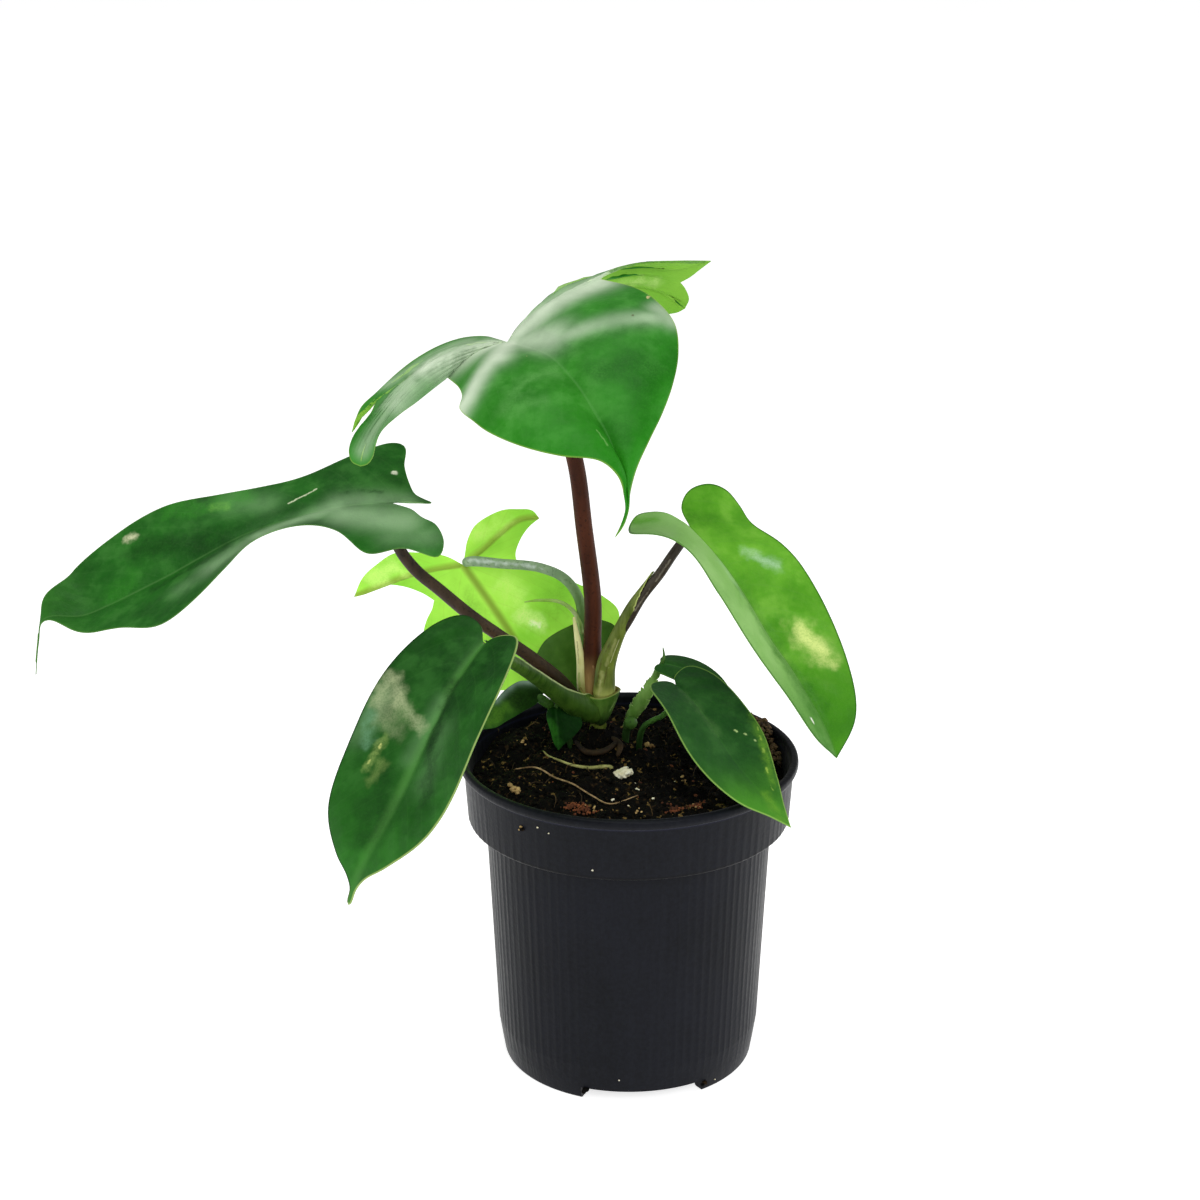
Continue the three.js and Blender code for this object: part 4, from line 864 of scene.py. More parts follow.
# Bright leaf at the right
rightHub = (21, -3.6, 198.7)
rightLeaf = {
    "hub": rightHub,
    "place": leafBend(rightHub, [
        [-14, -43, -25, 24, -3, 5],
        [0, -39, -29.5, 9.5, 0, 21.5],
        [30, -45, -45.5, 9.5, 10.5, 36],
        [65, -42, -45, 11, 14.5, 32],
        [95, -44.5, -66, 4.5, 9.5, 19.5],
    ]),
    "skin": {"seed": 11.0, "ribDepth": 0.6, "ribWidth": 1.5},
    "lobes": [{
        "rib": [(0, 0), (94, 0)],
        "left": [(0, 0), (-9, 4), (-12.8, 11), (-11, 19), (-5.5, 23.8), (1, 24.4), (9, 22.2), (20, 24),
                 (46, 23.2), (68, 18.5), (84, 12), (94, 0)],
        "right": [(0, 0), (-10.5, -3), (-15.5, -10.5), (-11, -19.5), (-4, -25), (20, -24.5),
                  (46, -23.5), (67.5, -17.5), (84, -10.5), (94, 0)],
    }],
    "look": {
        "deep": tint(58, 128, 18), "mid": tint(108, 178, 46), "pale": tint(140, 190, 78),
        "rib": tint(100, 150, 70), "paintedSheen": tint(200, 216, 170), "rim": tint(36, 84, 16),
        "under": tint(110, 160, 70), "underRib": tint(160, 190, 120), "roughness": 0.38,
        # half: painted sheen on the glancing half to the right of the rib
        "half": tint(146, 190, 114), "ribShow": 0.5, "ribWide": 0.8, "veinShow": 0.1, "rimWide": 0.9,
        "rimShow": 0.75,
        "tip": tint(48, 114, 16), "tipShow": 0.9, "tipFrom": 48.0, "tipTo": 86.0,
        "marks": [
            (tint(40, 100, 14), [
                ((38, -22, 181), (50, -34, 165), 6.5, 0.5), ((50, -36, 164), (62, -42, 149), 7.0, 0.7),
                ((20, 0, 201), (28, 4, 200), 6.0, 0.4), ((66, -46, 141), (72, -40, 141), 7.0, 0.35),
            ]),
            # painted highlight: a soft pale yellow glint of light on the blade
            (tint(230, 240, 150), [
                ((57, -24.4, 169), (66, -29.4, 162.4), 6.8, 0.55),
                ((58, -24.5, 168.6), (64, -28, 164), 4.0, 0.55),
            ]),
            # painted sheen: a faint bluish reflection on the blade
            (tint(196, 226, 200),
             [((40, -6.5, 191.6), (49, -9, 188), 4.4, 0.35), ((43, -8, 190.2), (50, -9, 187.5), 2.4, 0.3),
                                   ((28, -16, 190), (36, -22, 182), 4.0, 0.25)]),
            (tint(94, 164, 40), [((-1, -5, 203), (7, -5, 202), 5.0, 0.85)]),
            (tint(252, 252, 240), [((60.1, -49.2, 147.5), (60.1, -49.4, 145.6), 1.0, 1.0)]),
        ],
    },
}

# Small leaf over the rim, and the smaller one behind it
frontRightHub = (16, -13.3, 145.4)
frontRightLeaf = {
    "hub": frontRightHub,
    "place": leafBend(frontRightHub, [
        [-6, -48.5, -7.5, 6, 8, 7.5],
        [20, -58.5, -28.5, -2, 6.5, 11],
        [45, -45, -35, 4, 3, 4],
        [68, -34.5, -36.5, 6, -0.5, -1.5],
    ]),
    "skin": {"columns": 20, "seed": 13.0, "veinGap": 6.0, "quilt": 0.15, "wander": 0.3, "keel": 0.5},
    "lobes": [{
        "rib": [(0, 0), (68, 0)],
        "left": [(0, 0), (-3.5, 2.4), (-4.6, 9.6), (0.5, 13.1), (16.2, 15.7), (33.2, 16), (51, 9.8),
                 (61.3, 4), (68, 0)],
        "right": [(0, 0), (-3, -2), (-4, -7.5), (0, -11.5), (16.2, -15.4), (33.3, -16.6),
                  (51.5, -11.3), (61.2, -4), (68, 0)],
    }],
    "look": {
        "deep": tint(22, 62, 28), "mid": tint(44, 92, 38), "pale": tint(72, 122, 62),
        "rib": tint(64, 118, 52), "paintedSheen": tint(120, 150, 116), "rim": tint(150, 186, 90),
        "under": tint(90, 136, 60), "underRib": tint(150, 180, 110), "roughness": 0.4,
        "ribShow": 0.2, "veinShow": 0.05, "rimShow": 0.7, "rimWide": 0.6,
        "tip": tint(74, 142, 36), "tipShow": 0.8, "tipFrom": 36.0, "tipTo": 60.0,
        "marks": [
            (tint(110, 160, 50), [
                ((42.5, -24, 137), (45.5, -32, 131), 3.2, 0.55),
                ((45, -32, 131), (48, -44, 121.5), 3.0, 0.6), ((46, -50, 119), (50, -56, 113), 3.4, 0.5),
            ]),
            (tint(176, 206, 90), [
                ((44.4, -30, 133), (44.6, -31, 132), 0.6, 0.7),
                ((45.2, -34, 130), (45.4, -35, 129.2), 0.8, 0.6),
                ((46, -40.4, 125.5), (46.4, -41.4, 124.6), 0.6, 0.7),
                ((43.6, -27, 135), (43.8, -28, 134.4), 0.5, 0.7),
                ((47.2, -45.6, 121), (47.6, -47, 119.8), 0.7, 0.6),
                ((44, -38, 128.6), (44, -38.4, 128.2), 0.4, 0.7),
            ]),
            (tint(200, 222, 150), [
                ((35.7, -30.5, 135.4), (36.2, -30.7, 135.1), 0.8, 0.9),
                ((39.1, -30.6, 134.3), (39.6, -30.8, 134), 0.7, 0.9),
                ((42.5, -32, 132.3), (42.5, -32, 132), 0.6, 0.9),
            ]),
            (tint(104, 142, 84), [((18, -18, 144), (30, -34, 136), 3.0, 0.25)]),
        ],
    },
}
behindRightHub = (12, 2, 147.5)
behindRightLeaf = {
    "hub": behindRightHub,
    "place": leafBend(behindRightHub, [
        [-4, -22, 5, 0, 5, -15],
        [14, -22, -22, 0, 5, -20],
        [30, -26, -45, 0, 5, -20],
    ]),
    "skin": {"columns": 12, "seed": 17.0, "veinGap": 4.0, "quilt": 0.1, "wander": 0.2, "keel": 0.4},
    "lobes": [{
        "rib": [(0, 0), (30, 0)],
        "left": [(0, 0), (-2, 2), (-1.5, 5.5), (3, 7.5), (13, 8), (22, 5.5), (30, 0)],
        "right": [(0, 0), (-2, -2), (-1.5, -5), (3, -6.5), (13, -7), (22, -4.5), (30, 0)],
    }],
    "look": {
        "deep": tint(24, 66, 26), "mid": tint(48, 102, 38), "pale": tint(80, 136, 64),
        "rib": tint(80, 140, 60), "paintedSheen": tint(130, 160, 120), "rim": tint(110, 150, 70),
        "under": tint(60, 110, 44), "underRib": tint(110, 150, 74), "roughness": 0.42, "rimShow": 0.5,
    },
}

# Young leaf at the back, seen from below
backHub = (-60, 48, 168.5)
backLeaf = {
    "hub": backHub,
    "place": leafBend(backHub, [
        [-16, 0, -56, -94, 10, 10],
        [20, 4, -58, -94, 10, 12],
        [58, 8, -64, -92, 10, 12],
    ]),
    "skin": {"columns": 22, "seed": 19.0, "keel": 0.9, "veinGap": 8.0, "quilt": 0.05},
    "lobes": [
        {
            "rib": [(0, 0), (57, 0)],
            "left": [(6, 17), (8.5, 19.5), (11, 23.5), (15, 27.5), (25, 31), (37, 29), (48, 19), (57, 0)],
            "right": [(11.5, -16.5), (21.5, -24), (31.5, -31), (40, -36.5), (48, -39), (54, -34),
                      (58, -18), (57, 0)],
        },
        {
            "rib": [(0, 0), (-4, 10), (-7, 20), (-9, 30), (-11, 41.5)],
            "left": [(0, 0), (-6.5, 4), (-13, 12), (-17, 19), (-17, 26.5), (-15.5, 34.5), (-11, 41.5)],
            "right": [(6, 17), (1.5, 19), (-4.5, 23.5), (-9, 29.5), (-11, 36.5), (-11, 41.5)],
        },
        {
            "rib": [(0, 0), (0, -8), (-1, -17), (-1, -26), (3, -32.5)],
            "left": [(11.5, -16.5), (8.5, -18), (5.5, -22), (3.5, -27), (3, -32.5)],
            "right": [(0, 0), (-3, -3), (-6, -6), (-9, -11.5), (-9, -17.5), (-7.5, -23.5), (-4.5, -28),
                      (-1, -32), (3, -32.5)],
        },
    ],
    "look": {
        "deep": tint(110, 180, 44), "mid": tint(150, 216, 66), "pale": tint(190, 232, 110),
        "rib": tint(170, 200, 90), "paintedSheen": tint(220, 240, 160), "rim": tint(96, 150, 40),
        "under": tint(176, 236, 84), "underDeep": tint(128, 200, 54), "underRib": tint(116, 134, 44),
        "roughness": 0.48, "glow": 0.3, "ribShow": 0.75, "ribWide": 2.6, "veinShow": 0.08, "rimShow": 0.5,
        "underMarks": [
            (tint(210, 246, 130),
             [((-84, 50, 166), (-92, 49, 163), 7.0, 0.6), ((-56, 49, 180), (-42, 50, 184), 6.0, 0.4),
                                   ((-46, 51, 160), (-40, 51, 154), 7.0, 0.4)]),
            (tint(96, 160, 40),
             [((-60, 49, 156), (-54, 51, 146), 7.0, 0.5), ((-26, 55, 148), (-24, 55, 160), 8.0, 0.45),
                                 ((-50, 52, 139), (-40, 54, 134), 7.0, 0.5)]),
            # painted highlight: a bright soft spot and its whiter core
            (tint(220, 248, 150), [((-38, 51.5, 147), (-33, 52, 144), 5.5, 0.6)]),
            (tint(246, 255, 214), [((-35, 51.5, 144.6), (-33, 52, 143.6), 1.8, 0.7)]),
        ],
    },
}

# Small leaves round the foot of the plant
innerLeaf = {
    "hub": (-17, 36, 124),
    "place": leafBend((-17, 36, 124), [[-3, 95, 78, 0, 6, 6], [30, 95, 66, 0, 6, 6]]),
    "skin": {"columns": 12, "seed": 23.0, "veinGap": 5.0, "wander": 0.3, "keel": 0.4},
    "lobes": [{
        "rib": [(0, 0), (26, -2)],
        "left": [(0, 0), (-1.5, 8), (3.5, 15), (9, 17.5), (14, 16), (18.5, 13), (21.5, 8.5), (24, 3),
                 (26, -2)],
        "right": [(0, 0), (0, -5.5), (5, -8.5), (11, -10.5), (18, -13.5), (23, -13), (25.5, -8), (26, -2)],
    }],
    "look": {
        "deep": tint(42, 78, 14), "mid": tint(72, 118, 34), "pale": tint(104, 144, 62),
        "rib": tint(84, 128, 50), "paintedSheen": tint(120, 150, 110), "rim": tint(30, 60, 20),
        "under": tint(104, 166, 44), "underDeep": tint(68, 124, 26), "underRib": tint(110, 164, 70),
        "roughness": 0.45,
    },
}
droopLeaf = {
    "hub": (-26, 8, 129),
    "place": leafBend((-26, 8, 129), [[0, -80, -55, 0, 5, 5], [16, -80, -75, 0, 5, 5]]),
    "skin": {"columns": 10, "pitch": 0.8, "seed": 29.0, "veinGap": 4.0, "wander": 0.3, "keel": 0.3},
    "lobes": [{
        "rib": [(0, 0), (16, 0)],
        "left": [(0, 0), (-0.5, 3.5), (2.5, 7), (7, 9), (10.5, 6.5), (13.5, 2.5), (16, 0)],
        "right": [(0, 0), (1.5, -3), (4.5, -3.5), (9, -2.5), (13.5, -1.5), (16, 0)],
    }],
    "look": {
        "deep": tint(4, 28, 4), "mid": tint(14, 58, 10), "pale": tint(40, 88, 28),
        "rib": tint(44, 92, 34), "paintedSheen": tint(110, 140, 110), "rim": tint(20, 56, 16),
        "under": tint(26, 70, 20), "underRib": tint(60, 104, 40), "roughness": 0.5, "ribShow": 0.2,
        "specular": 0.03,
        # painted highlight: a brighter green patch in the middle of the blade
        "marks": [(tint(56, 130, 36), [((-28, 4, 124), (-26, 2, 119), 4.0, 0.5)])],
    },
}
saddleTip = (-51.5, -7, 126)
saddleHub = (-29.7, 12, 132.7)
saddleLeaf = {
    "hub": saddleHub,
    "skin": {"columns": 12, "pitch": 0.9, "seed": 31.0, "veinGap": 4.0, "wander": 0.3, "keel": 0.3},
    "lobes": [{
        "rib": [saddleHub, (-33.5, 11, 135), (-38, 8.5, 134.6), (-42.5, 3.5, 132.4), (-47, -1.5, 129.8),
                saddleTip],
        "left": [saddleHub, (-33.2, 7.5, 129.6), (-37, 4, 128.6), (-40, 1, 127.8), (-43.2, -2, 127),
                 (-46.6, -5, 126),
                 saddleTip],
        "right": [saddleHub, (-32.6, 14.5, 135.5), (-36.1, 14, 136.1), (-39.3, 12, 136.5),
                  (-44.1, 8, 134.6), (-46.8, 3, 133), (-50, -2, 130), saddleTip],
    }],
    # painted sheen: a silvery highlight along the top margin
    "sheen": [((-32, 14.5, 135.5), (-40, 12, 136.5), 2.0, 0.95),
              ((-40, 12, 136.5), (-47, 3, 133), 1.5, 0.8)],
    "look": {
        "deep": tint(16, 48, 8), "mid": tint(44, 88, 22), "pale": tint(70, 112, 40),
        "rib": tint(60, 100, 40), "paintedSheen": tint(140, 164, 152), "rim": tint(40, 80, 26),
        "under": tint(32, 80, 24), "underRib": tint(70, 116, 46), "roughness": 0.45, "ribShow": 0.15,
        # painted shade: the first mark darkens the inside of the curl near the hub
        "marks": [(tint(4, 24, 2), [((-31, 8, 132), (-38, 5, 131.5), 7.0, 0.8)]),
                  (tint(86, 136, 38), [((-44, 2, 131), (-49, -4, 128), 4.0, 0.5)])],
    },
}

bladePieces = {
    # piece: plan, slot, CAD node
    "top_leaf_blade": (topLeaf, "mid_leaf", "top_leaf"),
    "left_leaf_blade": (leftLeaf, "dark_leaf", "left_leaf"),
    "low_left_leaf_blade": (lowLeftLeaf, "dark_leaf", "low_left_leaf"),
    "right_leaf_blade": (rightLeaf, "bright_leaf", "right_leaf"),
    "front_right_leaf_blade": (frontRightLeaf, "dark_leaf", "front_right_leaf"),
    "back_leaf_blade": (backLeaf, "young_leaf", "back_leaf"),
    "inner_leaf_blade": (innerLeaf, "dark_leaf", "inner_leaf"),
    "droop_leaf_blade": (droopLeaf, "dark_leaf", "droop_leaf"),
    "saddle_leaf_blade": (saddleLeaf, "dark_leaf", "saddle_leaf"),
    "behind_right_leaf_blade": (behindRightLeaf, "dark_leaf", "behind_right_leaf"),
}
for pieceName, (plan, slotName, node) in bladePieces.items():
    points, faces, marks, sharp = bladeMesh(plan)
    piece = newPiece(pieceName, points, faces, marks, sharp)
    settle(piece, leafFinish(pieceName + "_skin", plan["look"]), slotName, node)
    print("leaf", pieceName, len(faces), "faces")


# Stalk colour: streaks along the rod, a paler foot, small specks

def stalkFinish(name, look):
    finish, tree, shader = newFinish(
        name, roughness=look["roughness"], specular=look.get("specular", 0.2))
    along = marked(tree, "along")
    streak = grain(tree, 260.0, 3.0, stretch=(1.0, 1.0, 0.08))
    cloudy, speck = grain(tree, 60.0, 3.0), grain(tree, 900.0, 1.0)
    skin = mixed(tree, streak, look["deep"], look["mid"])
    skin = mixed(tree, times(tree, cloudy, 0.35), skin, look["pale"])
    skin = mixed(tree, ease(tree, speck, 0.82, 0.95, 0.0, 0.5), skin, look["speck"])
    foot = ease(tree, along, look["footFrom"], look["footTo"], look.get("footShow", 0.85), 0.0)
    skin = mixed(tree, foot, skin, look["foot"])
    skin = painted(tree, skin, look.get("lines", ()), ease(tree, streak, 0.0, 0.7, 0.5, 1.0))
    tree.links.new(skin, shader.inputs["Base Color"])
    bumped(tree, shader, sum2(tree, streak, times(tree, speck, 0.3)), 0.00015, 0.7)
    return finish


stalkPlans = {
    # piece: node, slot, sides, route, look
    "top_stalk": {
        "node": "top_leaf_stalk", "slot": "red_stalk", "sides": 32,
        "route": [(-11.5, 18, 120, 2.2), (-12.6, 18.2, 127, 3.3), (-13, 18.6, 135, 3.7),
                  (-12.9, 18.6, 150, 3.2),
                  (-12.7, 17.6, 165, 3.1), (-15.6, 15, 192, 3), (-18.8, 11, 218.7, 2.9),
                  (-25, 9, 239, 2.7), (-34.5, 7.5, 252.5, 2.4), (-41.1, 6.2, 260.4, 2.2)],
        "look": {
            "deep": tint(42, 17, 7), "mid": tint(76, 36, 18), "pale": tint(100, 52, 34),
            "speck": tint(36, 16, 8), "foot": tint(176, 144, 88), "footFrom": 12.0, "footTo": 27.0,
            "footShow": 0.85, "roughness": 0.5, "specular": 0.1,
            "lines": [(tint(190, 150, 104), [
                ((-16.2, 17.4, 133), (-16, 17, 160), 0.55, 0.7),
                ((-15.7, 17, 160), (-18.4, 14, 192), 0.4, 0.35),
                ((-12, 15.0, 130), (-12.4, 15.5, 141), 0.6, 0.5),
                ((-14, 15.4, 131), (-14.2, 15.6, 138), 0.5, 0.5),
            ])],
        },
    },
    "left_stalk": {
        "node": "left_leaf_stalk", "slot": "dark_stalk", "sides": 24,
        "route": [(-16.5, 19, 121, 1.7), (-18.6, 16, 128, 2.1), (-23, 13, 135.5, 2.3),
                  (-29, 10, 142.2, 2.3),
                  (-36, 7, 149, 2.25), (-45, 3.2, 157, 2.2), (-55, -3, 167, 2.2), (-65, -7, 177.5, 2.1),
                  (-73.5, -9, 186, 2.1), (-79, -10, 195, 2), (-82, -9, 208.4, 1.8)],
        "look": {
            "deep": tint(26, 17, 10), "mid": tint(58, 42, 28), "pale": tint(88, 70, 50),
            "speck": tint(12, 9, 7), "foot": tint(40, 36, 20), "footFrom": 14.0, "footTo": 30.0,
            "roughness": 0.5,
            # painted highlights: paler lines along the dark stalk
            "lines": [(tint(112, 92, 70), [
                ((-30, 7.8, 143), (-48, 0.5, 160), 0.6, 0.5), ((-58, -6, 170), (-76, -11, 189), 0.5, 0.35),
            ])],
        },
    },
    "right_stalk": {
        "node": "right_leaf_stalk", "slot": "dark_stalk", "sides": 24,
        "route": [(-9.2, 15, 122, 1.8), (-8, 13.6, 133, 2.4), (-6.6, 12.4, 144, 2.3),
                  (-3.4, 10.4, 155, 2.0),
                  (-0.2, 8, 161.5, 1.9), (4.6, 4.2, 171.6, 1.85), (10.4, 0, 181, 1.8),
                  (15, -2.6, 189.2, 1.7), (20.4, -3.6, 197.4, 1.6)],
        "look": {
            "deep": tint(22, 16, 12), "mid": tint(58, 48, 38), "pale": tint(104, 94, 80),
            "speck": tint(10, 8, 6), "foot": tint(96, 108, 54), "footFrom": 24.0, "footTo": 40.0,
            "roughness": 0.4,
            # painted highlights: light grey lines along the dark stalk
            "lines": [(tint(150, 142, 126), [
                ((2, 4.6, 166), (8, 0.2, 177), 0.5, 0.6), ((9, -0.8, 178.6), (14, -4, 187.5), 0.45, 0.5),
            ])],
        },
    },
    "back_stalk": {
        "node": "back_leaf_stalk", "slot": "pale_stalk", "sides": 20,
        "route": [(-13.8, 28, 120, 1.9), (-14.2, 28.5, 130, 1.9), (-16.3, 31, 145.8, 1.8),
                  (-17.6, 33, 160, 1.8),
                  (-22.8, 36, 167, 1.8), (-32, 39, 170.3, 1.75), (-46.4, 42, 170.8, 1.8),
                  (-56, 43.5, 171.2, 1.9), (-59.8, 47.2, 169.4, 1.6)],
        "look": {
            "deep": tint(84, 122, 70), "mid": tint(128, 158, 110), "pale": tint(186, 204, 184),
            "speck": tint(76, 108, 70), "foot": tint(110, 156, 66), "footFrom": 20.0, "footTo": 60.0,
            "roughness": 0.5,
            "lines": [(tint(208, 220, 214), [
                ((-34, 37.4, 171.4), (-58, 42, 172.3), 1.3, 0.75),
                ((-20, 31, 163), (-32, 37, 171), 0.6, 0.5),
            ])],
        },
    },
    "front_right_stalk": {
        "node": "front_right_leaf_stalk", "slot": "green_stalk", "sides": 16,
        "route": [(3.6, 9, 110, 1.1), (4.2, 7.5, 118, 1.1), (5.6, 5, 122.5, 1), (8.4, 1.5, 126, 0.95),
                  (11.6, -3, 129.5, 0.95), (14.2, -8, 135, 1), (15.9, -12.9, 144.8, 0.95)],
        "look": {
            "deep": tint(40, 84, 28), "mid": tint(76, 126, 48), "pale": tint(104, 152, 70),
            "speck": tint(24, 50, 20), "foot": tint(20, 40, 16), "footFrom": 4.0, "footTo": 16.0,
            "roughness": 0.5,
        },
    },
}
for pieceName, plan in stalkPlans.items():
    points, faces, marks = rodMesh(plan["route"], plan["sides"])
    piece = newPiece(pieceName, points, faces, marks)
    settle(piece, stalkFinish(pieceName + "_rind", plan["look"]), plan["slot"], plan["node"])
print("stalks ready")

smallStalks = {
    "inner_leaf_stalk": [(-16, 33, 106, 1.4), (-16.5, 35, 116, 1.3), (-17, 36, 125.5, 1.1)],
    "droop_leaf_stalk": [(-20, 12, 106, 1.2), (-21.5, 11.5, 117, 1.1), (-24, 10, 125, 1),
                         (-26, 7.9, 129.5, 0.9)],
    "saddle_leaf_stalk": [(-21.5, 16, 106, 1.3), (-24, 14, 116, 1.4), (-27.1, 11, 127.0, 1.5),
                          (-30.3, 10, 130.2, 1.8), (-33, 10.5, 132, 1.4)],
}
smallLook = {
    "deep": tint(40, 80, 24), "mid": tint(76, 120, 44), "pale": tint(110, 150, 76),
    "speck": tint(40, 70, 26), "foot": tint(24, 50, 18), "footFrom": 8.0, "footTo": 22.0, "roughness": 0.5,
}
smallRind = stalkFinish("small_stalk_rind", smallLook)
for pieceName, route in smallStalks.items():
    points, faces, marks = rodMesh(route, 16, 1.0)
    settle(newPiece(pieceName, points, faces, marks), smallRind, "green_stalk")


# Sheaths: gutters that wrap round a stalk. Angles in degrees, 0 to the front, 90 to the right

gutterPlan = {
    "tearStep": 0.45,  # noise step from one row to the next
    "margins": (0.0, 9.0),  # noise levels of the two margins
    "edgeThin": 0.35,  # share of the wall left at a margin
    "edgeReach": 1.2,
}


def gutterMesh(stations, thick, columns, pitch, torn=0.0, seed=1.0):  # torn: degrees
    path, (radius, first, last) = walked(np.array(stations, float), pitch, 8)
    steps = len(path) - 1
    if torn:
        first, last = (
            margin + torn * np.array([
                noise.noise(Vector((i * gutterPlan["tearStep"], seed, level))) for i in range(steps + 1)])
            for margin, level in zip((first, last), gutterPlan["margins"]))
    ahead = unit(np.gradient(path, axis=0))
    front = np.array([0, -1.0, 0])
    face = unit(front - ahead * (ahead @ front)[:, None])
    side = np.cross(ahead, face)
    t = np.linspace(0, 1, columns + 1)
    angle = np.radians(first[:, None] + (last - first)[:, None] * t)
    out = face[:, None] * np.cos(angle)[..., None] + side[:, None] * np.sin(angle)[..., None]
    near = np.minimum(t, 1 - t) * np.abs(np.radians(last - first))[:, None] * radius[:, None]
    thin = gutterPlan["edgeThin"]
    wall = thick * (thin + (1 - thin) * np.clip(near / gutterPlan["edgeReach"], 0, 1))
    outer = path[:, None] + out * radius[:, None, None]
    inner = outer - out * wall[..., None]
    rows, wide = steps + 1, columns + 1
    points = np.vstack([outer.reshape(-1, 3), inner.reshape(-1, 3)])
    count, faces = rows * wide, []
    for i in range(steps):
        for j in range(columns):
            a = i * wide + j
            faces += [(a, a + 1, a + wide + 1, a + wide),
                      (count + a, count + a + wide, count + a + wide + 1, count + a + 1)]
        for a, b in ((i * wide, (i + 1) * wide), ((i + 2) * wide - 1, (i + 1) * wide - 1)):
            faces.append((a, b, count + b, count + a))
    for j in range(columns):
        for a, b in ((j + 1, j), (steps * wide + j, steps * wide + j + 1)):
            faces.append((a, b, count + b, count + a))
    marks = {
        "lip": np.tile(near.reshape(-1), 2),
        "along": np.tile(np.repeat(travelled(path), wide), 2),
        "inside": np.repeat([0.0, 1.0], count),
    }
    return points, outwards(points, faces), marks


farFromLip = 9.0  # for parts that have no lip near them


def cupMesh(plan, spokes=96, rings=14):  # rim: [degrees from the front towards the right, radius, level]
    rim = np.array(plan["rim"], float)
    turn = np.linspace(-180, 180, spokes, endpoint=False)
    reach, level = (np.interp(turn, rim[:, 0], rim[:, c], period=360) for c in (1, 2))
    soft = np.array([0.06, 0.24, 0.4, 0.24, 0.06])
    for _ in range(4):
        reach, level = (sum(w * np.roll(v, k - 2) for k, w in enumerate(soft)) for v in (reach, level))
    foot, low = plan["foot"]
    middle = np.array(plan["axis"], float)
    angle = np.radians(turn)
    ring = np.stack([np.sin(angle), -np.cos(angle)], 1)

    def layer(share, inset, drop=0.0):
        size = foot + (reach - foot) * share ** plan["flare"] - inset
        return np.hstack([middle + ring * np.maximum(size, 0.2)[:, None],
                          (low + (level - low) * share - drop)[:, None]])

    wall = plan["wall"]
    layers = [layer(k / rings, 0) for k in range(rings + 1)]
    layers.append(layer(1.0, wall * 0.5, -0.15))
    layers += [layer(1 - k / rings, wall) for k in range(rings - 4)]
    points = np.vstack(layers + [[[*middle, low]], [[*middle, layers[-1][:, 2].mean()]]])
    faces = outwards(points, tubeFaces(len(layers), spokes))
    down = [((rings - i) / rings * (level - low)) for i in range(rings + 1)]
    down += [0 * level] + [k / rings * (level - low) for k in range(rings - 4)]
    marks = {
        "lip": np.concatenate(down + [[farFromLip], [farFromLip]]),
        "along": points[:, 2] - low,
        "inside": np.concatenate([np.zeros(spokes * (rings + 1)),
                                  np.ones(len(points) - spokes * (rings + 1))]),
    }
    return points, faces, marks


def sheathFinish(name, look):
    finish, tree, shader = newFinish(name, roughness=0.45, specular=0.2)
    lip, along, inside = (marked(tree, label) for label in ("lip", "along", "inside"))
    cloudy = grain(tree, 110.0, 4.0)
    streak = grain(tree, 380.0, 3.0, stretch=(1.0, 1.0, 0.12))
    skin = mixed(tree, cloudy, look["deep"], look["mid"])
    skin = mixed(tree, times(tree, streak, look.get("streak", 0.4)), skin, look["pale"])
    low = ease(tree, along, look["footFrom"], look["footTo"], look.get("footShow", 0.8), 0.0)
    skin = mixed(tree, low, skin, look["foot"])
    skin = painted(tree, skin, look.get("lines", ()), ease(tree, streak, 0.0, 0.7, 0.5, 1.0))
    edgeLine = ease(tree, lip, look["lipWide"] * 0.3, look["lipWide"], look.get("lipShow", 0.85), 0.0)
    skin = mixed(tree, edgeLine, skin, look["lip"])
    skin = mixed(tree, times(tree, inside, look.get("insideShow", 0.5)), skin, look["inner"])
    tree.links.new(skin, shader.inputs["Base Color"])
    bumped(tree, shader, streak, 0.0002, 0.8)
    return finish


# Crown: short stem, the cup round it, the gutter stalk of the low left leaf and the sheaths

crownStem = [(-11, 20, 104, 3.8), (-11, 19, 114, 3.4), (-10.6, 16.5, 120, 2.6), (-10.6, 16, 126, 4.2),
             (-10.6, 16, 130.5, 4.8)]
cupPlan = {
    "axis": (-10.2, 15.2),
    "foot": (1.3, 119.0),  # radius, level
    "rim": [(-150, 7.0, 132.5), (-110, 7.4, 133), (-60, 7.4, 132.6), (-25, 7.4, 131.8), (5, 7.4, 131.6),
            (35, 7.4, 132.4), (70, 7.5, 133), (100, 7.5, 132.2), (140, 7.2, 132)],
    "flare": 0.7,
    "wall": 0.9,
}
stalkGutter = [
    # x, y, z, radius, one margin, other margin
    (-48, -48.8, 173, 1.6, -162, 172), (-45, -42, 168, 1.9, -150, 168), (-39.8, -28, 159.2, 2.3, -110, 160),
    (-35.8, -17, 152.6, 2.8, -74, 152), (-30.6, -6.5, 145, 3.4, -60, 146), (-25, 2, 137.2, 4.1, -62, 140),
    (-19.5, 8, 130.8, 4.9, -80, 134), (-15, 12, 126.5, 5.2, -125, 130), (-11.5, 14.5, 123, 3.6, -165, 150),
]
rightSheath = [
    (-9.4, 14.6, 124, 2.8, -170, 170), (-8.7, 13.6, 132, 4.0, -172, 172), (-7.9, 12.6, 143, 3.4, -176, 172),
    (-4.6, 10.8, 153, 2.6, -178, 160), (-1.8, 8.9, 160, 2.3, -176, 96), (1.4, 6.4, 167, 2.2, -176, 20),
    (4.6, 4.0, 172.4, 2.15, -172, -24), (7.2, 2.2, 176.4, 2.2, -164, -60), (9.4, 0.4, 180, 2.3, -140, -96),
]
